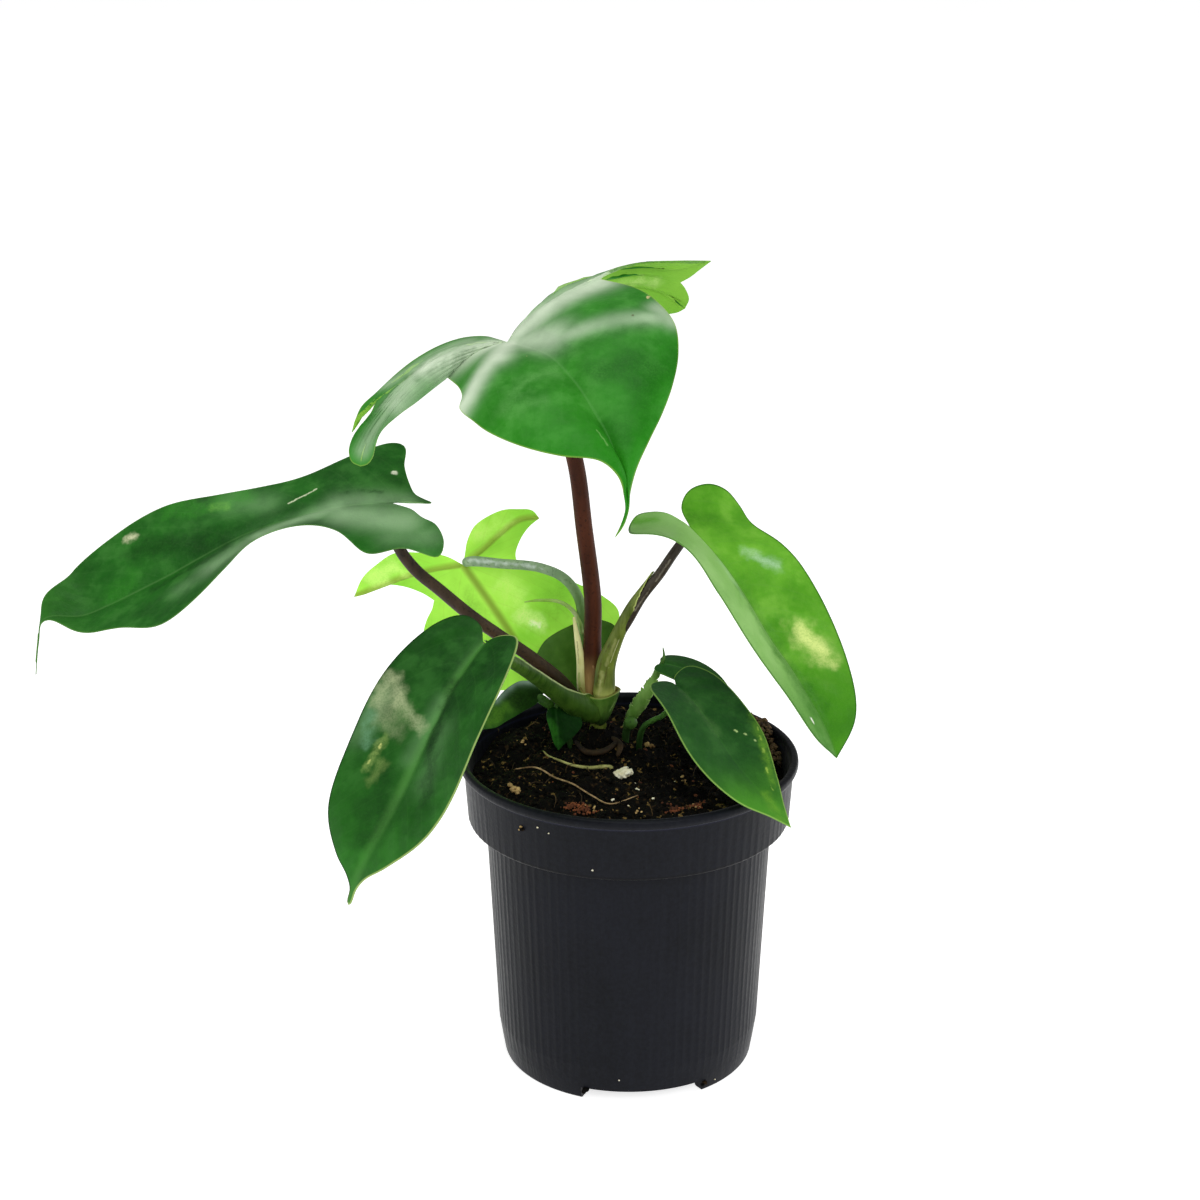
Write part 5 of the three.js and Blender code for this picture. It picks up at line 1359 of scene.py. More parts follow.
backSheath = [
    (-15.5, 17.5, 124, 2.0, -150, 120), (-16.6, 17.6, 134, 1.9, -120, 120),
    (-17.0, 17.8, 142, 1.6, -110, 100), (-18.2, 17.8, 151, 1.1, -90, 90), (-19.4, 17.8, 159, 0.6, -60, 60),
]
filamentRoute = [(-37.5, 33.6, 159, 0.22), (-32.1, 33, 159.9, 0.5), (-24.6, 32.6, 159.4, 0.65),
                 (-20.4, 31.8, 156.8, 0.8), (-17.6, 30.6, 152.8, 0.9), (-16.6, 29.6, 148, 0.8)]
cupLook = {
    "deep": tint(40, 76, 20), "mid": tint(82, 126, 42), "pale": tint(120, 156, 70),
    "foot": tint(20, 42, 14), "footFrom": 1.5, "footTo": 7.5, "lip": tint(126, 146, 66), "lipWide": 0.5,
    "inner": tint(120, 100, 56), "insideShow": 0.8,
    "lines": [(tint(150, 180, 110), [((-3.4, 13.4, 134), (-7.5, 10.6, 122.5), 0.7, 0.7)]),
              (tint(24, 56, 20), [((-15, 9.6, 130), (-11, 10.5, 122), 1.6, 0.5)])],
}
gutterLook = {
    "deep": tint(26, 56, 10), "mid": tint(58, 92, 24), "pale": tint(84, 116, 40),
    "foot": tint(34, 74, 20), "footFrom": 0.0, "footTo": 1.0, "lip": tint(186, 200, 140), "lipWide": 0.8,
    "inner": tint(60, 96, 34), "insideShow": 0.6, "streak": 0.3,
}
rightSheathLook = {
    "deep": tint(60, 76, 16), "mid": tint(112, 128, 44), "pale": tint(160, 172, 88),
    "foot": tint(198, 204, 112), "footFrom": 7.0, "footTo": 13.0, "lip": tint(206, 216, 130),
    "lipWide": 0.6,
    "inner": tint(140, 166, 70), "streak": 0.35,
    "lines": [
        (tint(72, 42, 14), [
            ((-11.9, 10.6, 134), (-9.4, 9.4, 148), 0.6, 0.8), ((-9.4, 9.2, 133), (-7, 9.4, 147), 0.35, 0.5),
            ((-8, 9.6, 149), (-3.4, 8.6, 158), 0.5, 0.7), ((-2.6, 7.6, 160), (2.6, 4, 170), 0.4, 0.5),
        ]),
        # painted highlights: the next two marks are pale cream strokes and thin lines
        (tint(214, 212, 140),
         [((-11.2, 10, 131), (-9.6, 9.4, 141), 1.5, 0.45), ((-8, 9, 144), (-4.4, 8.4, 154), 0.9, 0.3)]),
        (tint(236, 232, 180), [
            ((-10.9, 9.8, 132), (-10.2, 9.4, 138), 0.5, 0.9), ((-8.2, 9, 136), (-7, 9.1, 143), 0.28, 0.7),
            ((-6.4, 9.2, 145), (-2.8, 8, 156), 0.28, 0.7), ((-9.8, 9.3, 139), (-9.2, 9.2, 142), 0.3, 0.7),
        ]),
        (tint(56, 78, 18),
         [((-5.0, 11, 131), (-4.8, 11, 146), 1.3, 0.7), ((-2.6, 9.2, 154), (1, 7, 163), 0.8, 0.6)]),
    ],
}
backSheathLook = {
    "deep": tint(196, 192, 96), "mid": tint(238, 234, 160), "pale": tint(252, 248, 206),
    "foot": tint(120, 124, 56), "footFrom": 6.0, "footTo": 19.0, "lip": tint(130, 150, 70), "lipWide": 0.3,
    "lipShow": 0.5, "inner": tint(190, 190, 110),
    "lines": [
        (tint(120, 158, 50),
         [((-17.6, 16.4, 158), (-16.6, 15.9, 146), 0.45, 0.8),
          ((-17.6, 16.2, 138), (-17.4, 16, 131), 0.6, 0.5)]),
        (tint(100, 70, 30),
         [((-16.2, 15.8, 142), (-15.4, 15.6, 132), 0.4, 0.7),
          ((-18.2, 16.8, 150), (-17.8, 16.2, 142), 0.3, 0.6)]),
    ],
}
filamentLook = {
    **backSheathLook, "deep": tint(96, 140, 44), "mid": tint(140, 184, 70), "foot": tint(140, 184, 70)}
crownParts = {
    # piece: mesh, look
    "crown_cup": (cupMesh(cupPlan), cupLook),
    "crown_stem": (rodMesh(crownStem, 28, 0.8), {**rightSheathLook, "lines": ()}),
    "low_left_gutter": (gutterMesh(stalkGutter, 0.8, 30, 0.9), gutterLook),
    "right_sheath": (gutterMesh(rightSheath, 0.6, 30, 0.6, 14.0), rightSheathLook),
    "back_sheath": (gutterMesh(backSheath, 0.5, 16, 0.6), backSheathLook),
    "back_filament": (rodMesh(filamentRoute, 12, 0.6), filamentLook),
}
for pieceName, (shape, look) in crownParts.items():
    points, faces, marks = shape
    if "lip" not in marks:
        marks = {**marks, "lip": np.full(len(points), farFromLip), "inside": np.zeros(len(points))}
    piece = newPiece(pieceName, points, faces, marks)
    nodes = ["crown"] if pieceName == "crown_cup" else []
    settle(piece, sheathFinish(pieceName + "_rind", look), "green_stalk", *nodes)

behindRightRod = [(-1.2, 13, 108, 1.3), (-0.8, 12.5, 117, 1.4), (1.2, 11.2, 124, 1.5), (5, 8.2, 132.5, 1.3),
                  (8.6, 5.4, 140, 1.0), (11.4, 2.8, 147, 0.75), (12.2, 2, 150, 0.5),
                  (11.8, 1.8, 153.6, 0.16)]
behindRightWing = [
    (-0.6, 12.3, 119, 1.6, -90, 90), (1.4, 11, 124.5, 2.3, -80, 80), (4, 9, 130, 3.0, -70, 70),
    (6.6, 7.0, 135.5, 2.7, -66, 66), (9.2, 4.8, 141.5, 1.6, -70, 70), (11, 3.2, 146, 1.0, -80, 80),
]
wingLook = {
    "deep": tint(58, 108, 30), "mid": tint(104, 154, 58), "pale": tint(150, 194, 104), "streak": 0.6,
    "foot": tint(34, 68, 20), "footFrom": 1.0, "footTo": 11.0, "lip": tint(170, 204, 116), "lipWide": 0.6,
    "inner": tint(90, 136, 50),
}
points, faces, marks = rodMesh(behindRightRod, 16, 0.8)
settle(newPiece("behind_right_leaf_stalk", points, faces, marks), smallRind, "green_stalk")
points, faces, marks = gutterMesh(behindRightWing, 0.5, 18, 0.4, 75.0, 3.0)
settle(newPiece("behind_right_leaf_wing", points, faces, marks), sheathFinish("wing_rind", wingLook),
       "green_stalk")
print("crown ready")


# Pot: turned shell with notched foot; its fine upright ribs are raised by a node tree

potPlan = {
    "segments": 720,
    "outside": [(44.3, 0), (44.9, 0.6), (45.9, 6.5), (46.9, 14), (50.6, 90), (51.4, 91.2), (56.3, 91.2),
                (56.9, 92), (58.3, 110.6), (59.5, 111.1), (60, 112.3), (59.8, 113.8), (59, 114.4)],
    "inside": [(57.7, 114.4), (57, 113.2), (56.9, 110.5), (55.4, 92.8), (50.2, 92.8), (49.2, 90),
               (45.4, 14), (44.2, 8), (42.6, 6)],
    "underside": [(40.8, 0), (40.2, 0.6), (39.5, 4.6), (9, 4.6), (9, 0.6), (8.4, 0)],
    "notches": 3,
    "notchAngle": 57.6,
    "notchMiddle": -83,
    "notchHeight": 4.6,
    "notchReach": (36, 54),
    "notchSteps": 16,
    "drainRadius": 3.5,
    "drainReach": 33.0,
    "drainLevels": (2, 5, 9),
    "floor": 6,
    "corner": 0.5,
    "wallStep": 9,  # longest face along the wall
    "ribs": {"Rib count": 96.0, "Rib height": 0.00011},  # metres
    "lipHighlight": (0.1098, 0.1106, 0.1114),  # metres, where a faint painted bluish highlight line starts, peaks and ends
    "ledgeShade": (0.0895, 0.0908, 0.0918, 0.093),
}


def potProfile():  # closed outline from the axis underneath round to the axis inside, corners rounded
    rough = [(0, 0)] + potPlan["underside"][::-1] + potPlan["outside"] + potPlan["inside"]
    rough.append((0, potPlan["floor"]))
    fine = [np.array(rough[0], float)]
    for i in range(1, len(rough) - 1):
        before, here, after = (np.array(rough[k], float) for k in (i - 1, i, i + 1))
        near, far = np.linalg.norm(before - here), np.linalg.norm(after - here)
        cut = min(potPlan["corner"], 0.45 * near, 0.45 * far)
        start, end = here + (before - here) * cut / near, here + (after - here) * cut / far
        for t in (0, 0.33, 0.67, 1):
            fine.append((1 - t) ** 2 * start + 2 * t * (1 - t) * here + t**2 * end)
    fine.append(np.array(rough[-1], float))
    steps = [fine[0]]
    for a, b in zip(fine, fine[1:]):
        count = max(1, int(np.linalg.norm(b - a) // potPlan["wallStep"]))
        steps += [a + (b - a) * k / count for k in range(1, count + 1)]
    return np.array(steps)


def turnedMesh(profile, segments):
    inner = profile[1:-1]
    angles = 2 * np.pi * np.arange(segments) / segments
    ring = np.stack([np.cos(angles), np.sin(angles)], 1)
    points = [np.hstack([ring * r, np.full((segments, 1), z)]) for r, z in inner]
    points = np.vstack(points + [[[0, 0, profile[0][1]]], [[0, 0, profile[-1][1]]]])
    return points, outwards(points, tubeFaces(len(inner), segments))


def cutterMesh():  # wedges for the foot's notches and rods for the drains
    parts = []
    near, far = potPlan["notchReach"]
    arc = potPlan["notchSteps"]
    for i in range(potPlan["notches"]):
        middle = math.radians(potPlan["notchMiddle"] + 360 / potPlan["notches"] * i)
        half = math.radians(potPlan["notchAngle"] / 2)
        outline = [(near * math.cos(middle - half), near * math.sin(middle - half))]
        for k in range(arc + 1):
            angle = middle - half + 2 * half * k / arc
            outline.append((far * math.cos(angle), far * math.sin(angle)))
        outline.append((near * math.cos(middle + half), near * math.sin(middle + half)))
        count = len(outline)
        points = [(x, y, -5) for x, y in outline] + [(x, y, potPlan["notchHeight"]) for x, y in outline]
        faces = [tuple(range(count))[::-1], tuple(range(count, 2 * count))]
        faces += [(k, (k + 1) % count, count + (k + 1) % count, count + k) for k in range(count)]
        parts.append((np.array(points, float), faces, {}))
        reach = potPlan["drainReach"]
        drain = [(reach * math.cos(middle), reach * math.sin(middle), z, potPlan["drainRadius"])
                 for z in potPlan["drainLevels"]]
        parts.append(rodMesh(drain, 32, 3.5, roundEnds=False))
    return joined(parts)[:2]


def shapeTree(name, sockets):  # geometry node tree with inputs of [label, kind, value]
    tree = bpy.data.node_groups.new(name, "GeometryNodeTree")
    face = tree.interface
    face.new_socket("Geometry", in_out="INPUT", socket_type="NodeSocketGeometry")
    for label, kind, value in sockets:
        socket = face.new_socket(label, in_out="INPUT", socket_type="NodeSocket" + kind)
        if value is not None:
            socket.default_value = value
    face.new_socket("Geometry", in_out="OUTPUT", socket_type="NodeSocketGeometry")
    return tree, tree.nodes.new("NodeGroupInput").outputs, tree.nodes.new("NodeGroupOutput").inputs


def ribTree():
    tree, given, result = shapeTree("potRibs", [
        ("Rib count", "Float", 96.0), ("Rib height", "Float", 0.00011), ("Irregularity", "Float", 0.7),
        ("Foot level", "Float", 0.009), ("Lip level", "Float", 0.1105)])
    place = addNode(tree, "GeometryNodeInputPosition").outputs[0]
    x, y, z = addNode(tree, "ShaderNodeSeparateXYZ", {0: place}).outputs
    angle = maths(tree, "ARCTAN2", y, x)
    wave = maths(tree, "SINE", maths(tree, "MULTIPLY", angle, given["Rib count"]))
    wave = maths(tree, "POWER", maths(tree, "MULTIPLY_ADD", wave, 0.5, 0.5), 2.0)
    around = addNode(tree, "ShaderNodeCombineXYZ",
                     {0: maths(tree, "COSINE", angle), 1: maths(tree, "SINE", angle)})
    uneven = addNode(tree, "ShaderNodeTexNoise", {"Vector": around.outputs[0], "Scale": 9.0, "Detail": 3.0})
    uneven = maths(tree, "MULTIPLY_ADD", maths(tree, "SUBTRACT", uneven.outputs["Fac"], 0.5),
                   maths(tree, "MULTIPLY", given["Irregularity"], 4.0), 1.0)
    uneven = maths(tree, "MAXIMUM", uneven, 0.15)
    lowEnd = ease(tree, z, given["Foot level"], sum2(tree, given["Foot level"], 0.004))
    highEnd = ease(tree, z, given["Lip level"], maths(tree, "SUBTRACT", given["Lip level"], 0.002))
    normal = addNode(tree, "GeometryNodeInputNormal").outputs[0]
    outward = addNode(tree, "ShaderNodeCombineXYZ", {0: x, 1: y}).outputs[0]
    outward = vectorMaths(tree, "NORMALIZE", outward)
    outer = maths(tree, "GREATER_THAN", vectorMaths(tree, "DOT_PRODUCT", normal, outward), 0.8)
    amount = times(tree, times(tree, wave, uneven), given["Rib height"])
    amount = times(tree, amount, times(tree, lowEnd, highEnd))
    amount = times(tree, amount, outer)
    shift = vectorMaths(tree, "SCALE", outward, scale=amount)
    moved = addNode(tree, "GeometryNodeSetPosition", {"Geometry": given["Geometry"], "Offset": shift})
    tree.links.new(moved.outputs[0], result[0])
    return tree


def frozen(piece):  # keeps the plain mesh that the piece's modifiers make
    bpy.context.view_layer.update()
    ready = bpy.data.meshes.new_from_object(piece.evaluated_get(bpy.context.evaluated_depsgraph_get()))
    piece.modifiers.clear()
    old, piece.data = piece.data, ready
    bpy.data.meshes.remove(old)


def grown(piece, tree, values):  # runs a node tree on a piece
    change = piece.modifiers.new(tree.name, "NODES")
    change.node_group = tree
    sockets = {s.name: s.identifier for s in tree.interface.items_tree if s.in_out == "INPUT"}
    for label, value in values.items():
        change[sockets[label]] = value
    frozen(piece)


def potFinish():
    finish, tree, shader = newFinish("pot_plastic", roughness=0.4, specular=0.08)
    shader.inputs["Sheen Weight"].default_value = 0.12
    shader.inputs["Sheen Roughness"].default_value = 0.25
    cloudy, fine = grain(tree, 26.0, 4.0), grain(tree, 700.0, 2.0)
    streak = grain(tree, 420.0, 3.0, stretch=(1.0, 1.0, 0.03))
    skin = mixed(tree, cloudy, tint(11, 12, 16), tint(18, 19, 25))
    skin = mixed(tree, times(tree, streak, 0.15), skin, tint(28, 30, 38))
    skin = mixed(tree, times(tree, fine, 0.12), skin, tint(44, 48, 58))
    place = addNode(tree, "ShaderNodeTexCoord").outputs["Object"]
    level = addNode(tree, "ShaderNodeSeparateXYZ", {0: place}).outputs[2]
    # painted highlight: a faint bluish line round the lip
    start, peak, end = potPlan["lipHighlight"]
    lipHighlight = times(tree, ease(tree, level, start, peak), ease(tree, level, peak, end, 1.0, 0.0))
    skin = mixed(tree, times(tree, lipHighlight, 0.35), skin, tint(46, 48, 72))
    start, full, fading, end = potPlan["ledgeShade"]
    ledge = times(tree, ease(tree, level, start, full), ease(tree, level, fading, end, 1.0, 0.0))
    skin = mixed(tree, times(tree, ledge, 0.8), skin, tint(5, 5, 7))
    tree.links.new(skin, shader.inputs["Base Color"])
    rough = sum2(tree, 0.34, times(tree, sum2(tree, cloudy, fine), 0.09))
    tree.links.new(rough, shader.inputs["Roughness"])
    bumped(tree, shader, sum2(tree, times(tree, fine, 0.5), streak), 0.00008, 0.7)
    return finish


points, faces = turnedMesh(potProfile(), potPlan["segments"])
pot = newPiece("pot_shell", points, faces)
points, faces = cutterMesh()
cutter = newPiece("pot_cutter", points, faces)
cut = pot.modifiers.new("foot", "BOOLEAN")
cut.object = cutter
cut.operation = "DIFFERENCE"
cut.solver = "EXACT"
frozen(pot)
bpy.data.objects.remove(cutter)
pot.data.shade_smooth()
pot.data.set_sharp_from_angle(angle=math.radians(40))
grown(pot, ribTree(), potPlan["ribs"])
settle(pot, potFinish(), "pot", "pot")
print("pot ready", len(pot.data.polygons), "faces")


# Soil: an uneven plug; crumbs, fibres and white grains are scattered on it by node trees

soilPlan = {
    "level": 111.0,
    "edgeGap": 0.5,
    "rings": 96,
    "spokes": 288,
    "clod": 1.5,
    "clodSize": 5.5,
    "crumb": 0.7,
    "crumbSize": 2.0,
    "grit": 0.3,
    "gritSize": 0.8,
    "sink": 0.6,
    "calmReach": 56.5,  # the roughness fades out towards this radius
    "calmWidth": 3,
    "crumbReach": 55.4,  # heaped crumbs stay within this radius
    "collar": ((55.4, 92.8), (56.9, 110.5)),  # ends of the pot's inner wall there: radius, level
    # x, y, height, spread of each mound or hollow
    "mounds": [(-11, 20, 3.6, 220), (-10, 13, 3.0, 70), (38, 30, 5.5, 150), (49, 26, 2.5, 60),
               (-56, 4, -6, 260), (56, 2, -7, 200)],
    "below": [(54.8, 93.4), (49, 93.2), (48.5, 89.5), (44.7, 14.5), (43.3, 8.6), (41.5, 6.3)],
}


def soilHeight(x, y):
    height = soilPlan["level"] + 1.3 * np.sin(x * 0.21 + 0.6) * np.cos(y * 0.17 - 0.4)
    height += 0.8 * np.sin(x * 0.47 - y * 0.39)
    for middleX, middleY, rise, spread in soilPlan["mounds"]:
        height += rise * np.exp(-((x - middleX) ** 2 + (y - middleY) ** 2) / spread)
    return height - 1.5 * np.maximum(0, (np.hypot(x, y) - 50) / 7)


def soilMesh():
    rings, spokes = soilPlan["rings"], soilPlan["spokes"]
    (lowReach, lowLevel), (highReach, highLevel) = soilPlan["collar"]
    slope = (highReach - lowReach) / (highLevel - lowLevel)
    angles = 2 * np.pi * np.arange(spokes) / spokes
    rim = lowReach + (soilHeight(lowReach * np.cos(angles), lowReach * np.sin(angles)) - lowLevel) * slope
    rim -= soilPlan["edgeGap"]
    points = [np.array([[0, 0, soilHeight(0.0, 0.0)]])]
    for i in range(1, rings + 1):
        reach = rim * i / rings
        x, y = reach * np.cos(angles), reach * np.sin(angles)
        points.append(np.stack([x, y, soilHeight(x, y)], 1))
    top = np.vstack(points)
    calm = (soilPlan["calmReach"] - np.hypot(top[:, 0], top[:, 1])) / soilPlan["calmWidth"]
    calm = np.clip(calm, 0.25, 1)
    rough = soilPlan["clod"] * blobNoise(top, soilPlan["clodSize"], 2.0)
    rough += soilPlan["crumb"] * np.abs(blobNoise(top, soilPlan["crumbSize"], 4.0)) * 2
    rough += soilPlan["grit"] * blobNoise(top, soilPlan["gritSize"], 6.0)
    top[:, 2] += rough * calm - soilPlan["sink"]
    below = [np.stack([r * np.cos(angles), r * np.sin(angles), np.full(spokes, z)], 1)
             for r, z in soilPlan["below"]]
    points = np.vstack([top] + below + [[[0, 0, soilPlan["below"][-1][1]]]])
    faces = [(0, 1 + k, 1 + (k + 1) % spokes) for k in range(spokes)]
    count = rings + len(below)
    for i in range(count - 1):
        for k in range(spokes):
            a, b = 1 + i * spokes + k, 1 + i * spokes + (k + 1) % spokes
            faces.append((a, a + spokes, b + spokes, b))
    base = 1 + (count - 1) * spokes
    faces += [(base + k, len(points) - 1, base + (k + 1) % spokes) for k in range(spokes)]
    return points, faces


def scatterTree(name, keepBase, shapeOf):  # scatters shapes on faces that look up
    tree, given, result = shapeTree(name, [
        ("Density", "Float", 100000.0), ("Smallest", "Float", 0.5), ("Largest", "Float", 1.5),
        ("Reach", "Float", 0.056), ("Lowest", "Float", 0.1), ("Seed", "Int", 1),
        ("Finish", "Material", None)])
    place = addNode(tree, "GeometryNodeInputPosition").outputs[0]
    split = addNode(tree, "ShaderNodeSeparateXYZ", {0: place})
    outward = addNode(tree, "ShaderNodeCombineXYZ", {0: split.outputs[0], 1: split.outputs[1]})
    reach = vectorMaths(tree, "LENGTH", outward.outputs[0])
    inside = maths(tree, "LESS_THAN", reach, given["Reach"])
    above = maths(tree, "GREATER_THAN", split.outputs[2], given["Lowest"])
    chosen = times(tree, inside, above)
    spread = addNode(
        tree, "GeometryNodeDistributePointsOnFaces",
        {"Mesh": given["Geometry"], "Density": given["Density"], "Seed": given["Seed"],
         "Selection": chosen}, distribute_method="RANDOM")
    size = addNode(tree, "FunctionNodeRandomValue", data_type="FLOAT")
    tree.links.new(given["Smallest"], size.inputs[2])
    tree.links.new(given["Largest"], size.inputs[3])
    tree.links.new(given["Seed"], size.inputs["Seed"])
    turn = addNode(tree, "FunctionNodeRandomValue", data_type="FLOAT_VECTOR")
    turn.inputs[0].default_value = (-0.6, -0.6, 0.0)
    turn.inputs[1].default_value = (0.6, 0.6, 6.28)
    copies = addNode(
        tree, "GeometryNodeInstanceOnPoints",
        {"Points": spread.outputs["Points"], "Instance": shapeOf(tree), "Rotation": turn.outputs[0],
         "Scale": size.outputs[1]})
    solid = addNode(tree, "GeometryNodeRealizeInstances", {"Geometry": copies.outputs[0]}).outputs[0]
    drift = addNode(tree, "ShaderNodeTexNoise", {"Scale": 900.0, "Detail": 2.0})
    drift = vectorMaths(tree, "SUBTRACT", drift.outputs["Color"], (0.5, 0.5, 0.5))
    drift = vectorMaths(tree, "SCALE", drift, scale=0.0011)
    solid = addNode(tree, "GeometryNodeSetPosition", {"Geometry": solid, "Offset": drift}).outputs[0]
    solid = addNode(
        tree, "GeometryNodeSetMaterial", {"Geometry": solid, "Material": given["Finish"]}).outputs[0]
    if keepBase:
        both = addNode(tree, "GeometryNodeJoinGeometry")
        tree.links.new(given["Geometry"], both.inputs[0])
        tree.links.new(solid, both.inputs[0])
        solid = both.outputs[0]
    tree.links.new(solid, result[0])
    return tree


def crumbShape(tree):
    ball = addNode(tree, "GeometryNodeMeshIcoSphere", {"Radius": 0.001, "Subdivisions": 2})
    squash = addNode(tree, "GeometryNodeTransform",
                     {"Geometry": ball.outputs[0], "Scale": (1.0, 0.8, 0.62)})
    return squash.outputs[0]


def fibreShape(tree):  # a short bent thread, round in section
    line = addNode(tree, "GeometryNodeCurveArc", {"Resolution": 7, "Radius": 0.0035, "Sweep Angle": 1.5})
    ring = addNode(tree, "GeometryNodeCurvePrimitiveCircle", {"Resolution": 4, "Radius": 0.00013})
    tube = addNode(tree, "GeometryNodeCurveToMesh", {
        "Curve": line.outputs[0], "Profile Curve": ring.outputs[0], "Fill Caps": True})
    lean = addNode(tree, "GeometryNodeTransform",
                   {"Geometry": tube.outputs[0], "Rotation": (1.15, 0.0, 0.0)})
    return lean.outputs[0]


def soilFinish():
    finish, tree, shader = newFinish("peat", roughness=0.85, specular=0.1)
    cloudy, fine, fleck = grain(tree, 90.0, 5.0), grain(tree, 600.0, 4.0), grain(tree, 330.0, 2.0)
    skin = mixed(tree, cloudy, tint(1, 1, 1), tint(10, 8, 5))
    skin = mixed(tree, ease(tree, fine, 0.66, 0.98, 0.0, 0.55), skin, tint(58, 42, 22))
    skin = mixed(tree, ease(tree, fleck, 0.88, 0.96, 0.0, 0.8), skin, tint(128, 104, 58))
    tree.links.new(skin, shader.inputs["Base Color"])
    bumped(tree, shader, sum2(tree, fine, cloudy), 0.0006, 0.9)
    return finish


def plainGrainFinish(name, dark, light, scale=500.0, roughness=0.8):
    finish, tree, shader = newFinish(name, roughness=roughness, specular=0.3)
    fine = grain(tree, scale, 4.0)
    tree.links.new(mixed(tree, fine, dark, light), shader.inputs["Base Color"])
    bumped(tree, shader, fine, 0.0002, 0.8)
    return finish


peat = soilFinish()
tanFibre = plainGrainFinish("tan_fibre", tint(14, 10, 6), tint(96, 74, 40), 90.0)
rimPeat = plainGrainFinish("rim_peat", tint(5, 4, 3), tint(116, 90, 60), 420.0)
chalk = plainGrainFinish("perlite_chalk", tint(214, 202, 160), tint(244, 240, 220))
bark = plainGrainFinish("bark_chip", tint(34, 16, 8), tint(140, 78, 44), 260.0)
tanCrumb = plainGrainFinish("tan_crumb", tint(110, 76, 38), tint(216, 184, 124), 400.0)

points, faces = soilMesh()
soil = newPiece("soil_bed", points, faces)
soil.data.materials.append(peat)
bed = soil.copy()
bed.data = soil.data.copy()
grown(soil, scatterTree("soilCrumbs", True, crumbShape), {
    "Density": 150000.0, "Smallest": 0.35, "Largest": 1.5, "Reach": 0.0545, "Lowest": 0.103,
    "Seed": 4, "Finish": peat})
settle(soil, peat, "soil", "soil")
print("soil ready", len(soil.data.polygons), "faces")

scatters = {
    # piece: shape, density per square metre, smallest, largest, seed, finish, slot
    "soil_fibres": (fibreShape, 11000.0, 0.3, 1.2, 11, tanFibre, "root"),
    "perlite_grains": (crumbShape, 1600.0, 0.2, 0.5, 21, chalk, "perlite"),
    "bark_crumbs": (crumbShape, 7000.0, 0.25, 0.8, 31, bark, "soil"),
}
for pieceName, (shape, density, small, large, seed, finish, slotName) in scatters.items():
    piece = bpy.data.objects.new(pieceName, bed.data.copy())
    bpy.context.scene.collection.objects.link(piece)
    grown(piece, scatterTree(pieceName + "_scatter", False, shape), {
        "Density": density, "Smallest": small, "Largest": large, "Reach": 0.053, "Lowest": 0.103,
        "Seed": seed, "Finish": finish})
    settle(piece, finish, slotName)
    print(pieceName, len(piece.data.polygons), "faces")
bpy.data.objects.remove(bed)


# Loose pieces lying on the soil

def lumpMesh(centre, radius, seed, rough=0.3, cuts=4):
    ball = bmesh.new()
    bmesh.ops.create_icosphere(ball, subdivisions=cuts, radius=1.0)
    points = np.array([v.co for v in ball.verts])
    faces = [tuple(v.index for v in f.verts) for f in ball.faces]
    ball.free()
    swell = 1 + rough * blobNoise(points, 0.55, seed) + 0.4 * rough * blobNoise(points, 0.2, seed + 5)
    return points * swell[:, None] * np.array([1, 1, 0.85]) * radius + np.array(centre), faces, {}


def lying(route, lift):  # [x, y, radius] laid on the soil
    return [(x, y, float(soilHeight(x, y)) + lift, r) for x, y, r in route]


def cluster(places, spread, sizes, count, seed):  # crumbs heaped round each place
    rng = np.random.default_rng(seed)
    parts = []
    for x, y in places:
        for _ in range(count):
            spot = np.array([x, y]) + rng.normal(0, spread, 2)
            spot *= min(1.0, soilPlan["crumbReach"] / np.linalg.norm(spot))
            size = rng.uniform(*sizes)
            z = float(soilHeight(*spot)) + 0.5 + abs(rng.normal(0, 0.35))
            parts.append(lumpMesh((*spot, z), size, rng.uniform(0, 50), 0.5, 2))
    return joined(parts)


perliteSpot = (-2.8, -13.1)
perliteParts = [((-3.9, -13.4), 1.7), ((-1.4, -12.9), 2.0), ((-2.6, -14.2), 1.6), ((0.3, -12.8), 1.2),
                ((-2.4, -12), 1.7)]
points, faces, marks = joined([
    lumpMesh((spot[0], spot[1], float(soilHeight(*perliteSpot)) + 1.3 + 0.5 * (i % 2)), size, 7.0 + i, 0.32)
    for i, (spot, size) in enumerate(perliteParts)])
settle(newPiece("perlite_lump_piece", points, faces), chalk, "perlite", "perlite_lump")
dryRoute = [(-30.4, 4.4, 0.2), (-28.4, 0.6, 0.34), (-24.5, -4.7, 0.42), (-19.5, -7.9, 0.5),
            (-13.8, -10, 0.6), (-9, -11.5, 0.75), (-5.6, -12.4, 0.8)]
points, faces, marks = rodMesh(lying(dryRoute, 1.7), 14, 0.8)
strawFinish = plainGrainFinish("straw", tint(104, 104, 50), tint(190, 186, 118), 300.0, 0.6)
settle(newPiece("dry_stem_piece", points, faces, marks), strawFinish, "dry_stem", "dry_stem")
rootRoute = [(-40.1, -8, 0.22), (-32.6, -10, 0.3), (-26, -14, 0.32), (-19.4, -24.2, 0.3),
             (-12.9, -31.3, 0.28), (-6.5, -37.2, 0.26), (3, -36.2, 0.18)]
points, faces, marks = rodMesh(lying(rootRoute, 1.5), 10, 0.8)
rootFinish = plainGrainFinish("thin_root", tint(90, 66, 42), tint(196, 164, 120), 300.0, 0.6)
settle(newPiece("root_piece", points, faces, marks), rootFinish, "root", "root")
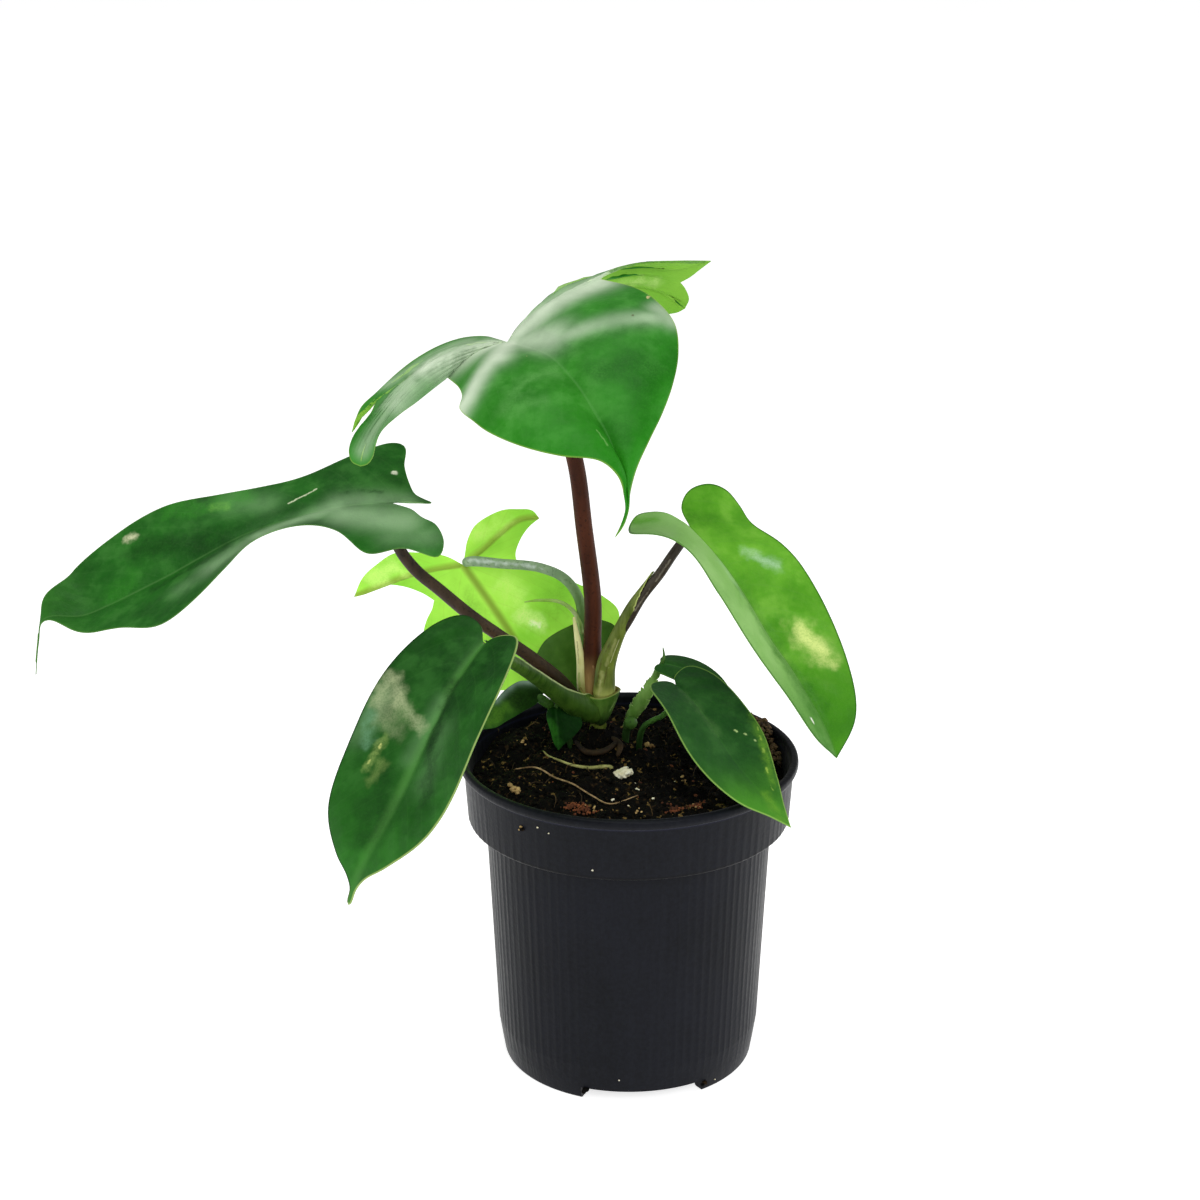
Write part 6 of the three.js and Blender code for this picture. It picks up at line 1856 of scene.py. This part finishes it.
looseCrumbs = {
    # piece: places, spread, sizes, count, seed, finish, slot
    "red_crumbs": ([(-19.2, -42), (-15, -43.4), (15.6, -41.6), (22, -39)], 1.8, (0.15, 0.55), 70, 5, bark,
                   "soil"),
    "tan_crumbs": ([(7.6, 13.8), (-39.2, -25)], 0.8, (0.35, 1.0), 12, 6, tanCrumb, "soil"),
    "small_tan_crumbs": ([(-37.3, 14.7), (18.6, -19.3), (21, -41), (-12, -42), (2, -45)], 1.3, (0.25, 0.5),
                         6, 9,
                         tanCrumb, "soil"),
    "white_crumbs": ([(-5.6, -32.8), (7.6, -35.4), (3.2, -23.4)], 0.4, (0.3, 0.55), 2, 7, chalk, "perlite"),
    "rim_crumbs": ([(52, 13), (51, 19), (48.5, 25), (45, 31), (40, 37), (34, 42), (46, 24)], 2.0,
                   (0.2, 1.2), 34, 8,
                   rimPeat, "soil"),
}
for pieceName, (places, spread, sizes, count, seed, finish, slotName) in looseCrumbs.items():
    points, faces, marks = cluster(places, spread, sizes, count, seed)
    settle(newPiece(pieceName, points, faces), finish, slotName)
deadSheaths = [[(-19, 9, 0.7), (-15, 4, 1.1), (-9, 3, 1.1), (-4, 7, 0.8)],
               [(-6, 10, 0.8), (-3, 6, 1.2), (-4, 1, 0.7)]]
points, faces, marks = joined([rodMesh(lying(route, 1.6), 14, 0.8) for route in deadSheaths])
deadFinish = plainGrainFinish("dead_sheath", tint(10, 7, 3), tint(58, 40, 16), 200.0)
settle(newPiece("dead_sheaths", points, faces, marks), deadFinish, "root")
nubPlan = {"place": (0.8, 8.6, 122.4), "size": (2.3, 2.0, 2.9)}
nub = lumpMesh((0, 0, 0), 1.0, 3.0, 0.12, 3)
points = nub[0] * np.array(nubPlan["size"]) + np.array(nubPlan["place"])
settle(newPiece("green_nub", points, nub[1], {"along": points[:, 2] - 100}), smallRind, "green_stalk")
print("loose pieces ready")


# Crumbs of soil caught on the pot

potSpecks = {
    # piece: [x, y, z, radius] near the wall, finish, slot
    "pot_specks_white": ([(-31.4, -49.4, 107.6, 0.35), (-27.6, -51.6, 106.4, 0.3),
                          (-12.8, -56.2, 94.9, 0.38),
                          (-3.5, -46.4, 9.6, 0.3), (31.4, -34.2, 2.7, 0.3)], chalk, "perlite"),
    "pot_specks_tan": ([(-37.2, -45.2, 105.9, 0.5), (-37.9, -44.6, 104.6, 0.35)], tanCrumb, "soil"),
    "pot_specks_dark": ([(-15.1, -43, 4.2, 1.1), (-15.8, -42.5, 3.2, 0.9), (26.8, -36.8, 3.4, 1.0),
                         (26.2, -37.2, 2.6, 0.8), (-36.6, -45.4, 105.2, 0.9)], peat, "soil"),
}


def onWall(x, y, z, radius):  # a speck pressed a little into the pot's wall
    reach, level = zip(*potPlan["outside"][:9])
    share = (np.interp(z, level, reach) + 0.3 * radius) / math.hypot(x, y)
    return x * share, y * share, z


for pieceName, (specks, finish, slotName) in potSpecks.items():
    points, faces, marks = joined([
        lumpMesh(onWall(*speck), speck[3], 11.0 + i, 0.4, 2) for i, speck in enumerate(specks)])
    settle(newPiece(pieceName, points, faces), finish, slotName)


# Floor

def makeFloor():
    half = studio["floorSize"] / 2
    mesh = bpy.data.meshes.new("floor")
    corners = [(-half, -half, 0), (half, -half, 0), (half, half, 0), (-half, half, 0)]
    mesh.from_pydata(corners, [], [(0, 1, 2, 3)])
    floor = bpy.data.objects.new("floor", mesh)
    bpy.context.scene.collection.objects.link(floor)
    finish, tree, shader = newFinish("floor_white", roughness=0.9, specular=0.1)
    tree.links.new(mixed(tree, grain(tree, 3.0), studio["floorColour"], studio["floorCloud"]),
                   shader.inputs["Base Color"])
    shader.inputs["Emission Color"].default_value = (1, 1, 1, 1)
    shader.inputs["Emission Strength"].default_value = studio["floorGlow"]
    floor.data.materials.append(finish)


makeFloor()

print("all pieces ready")
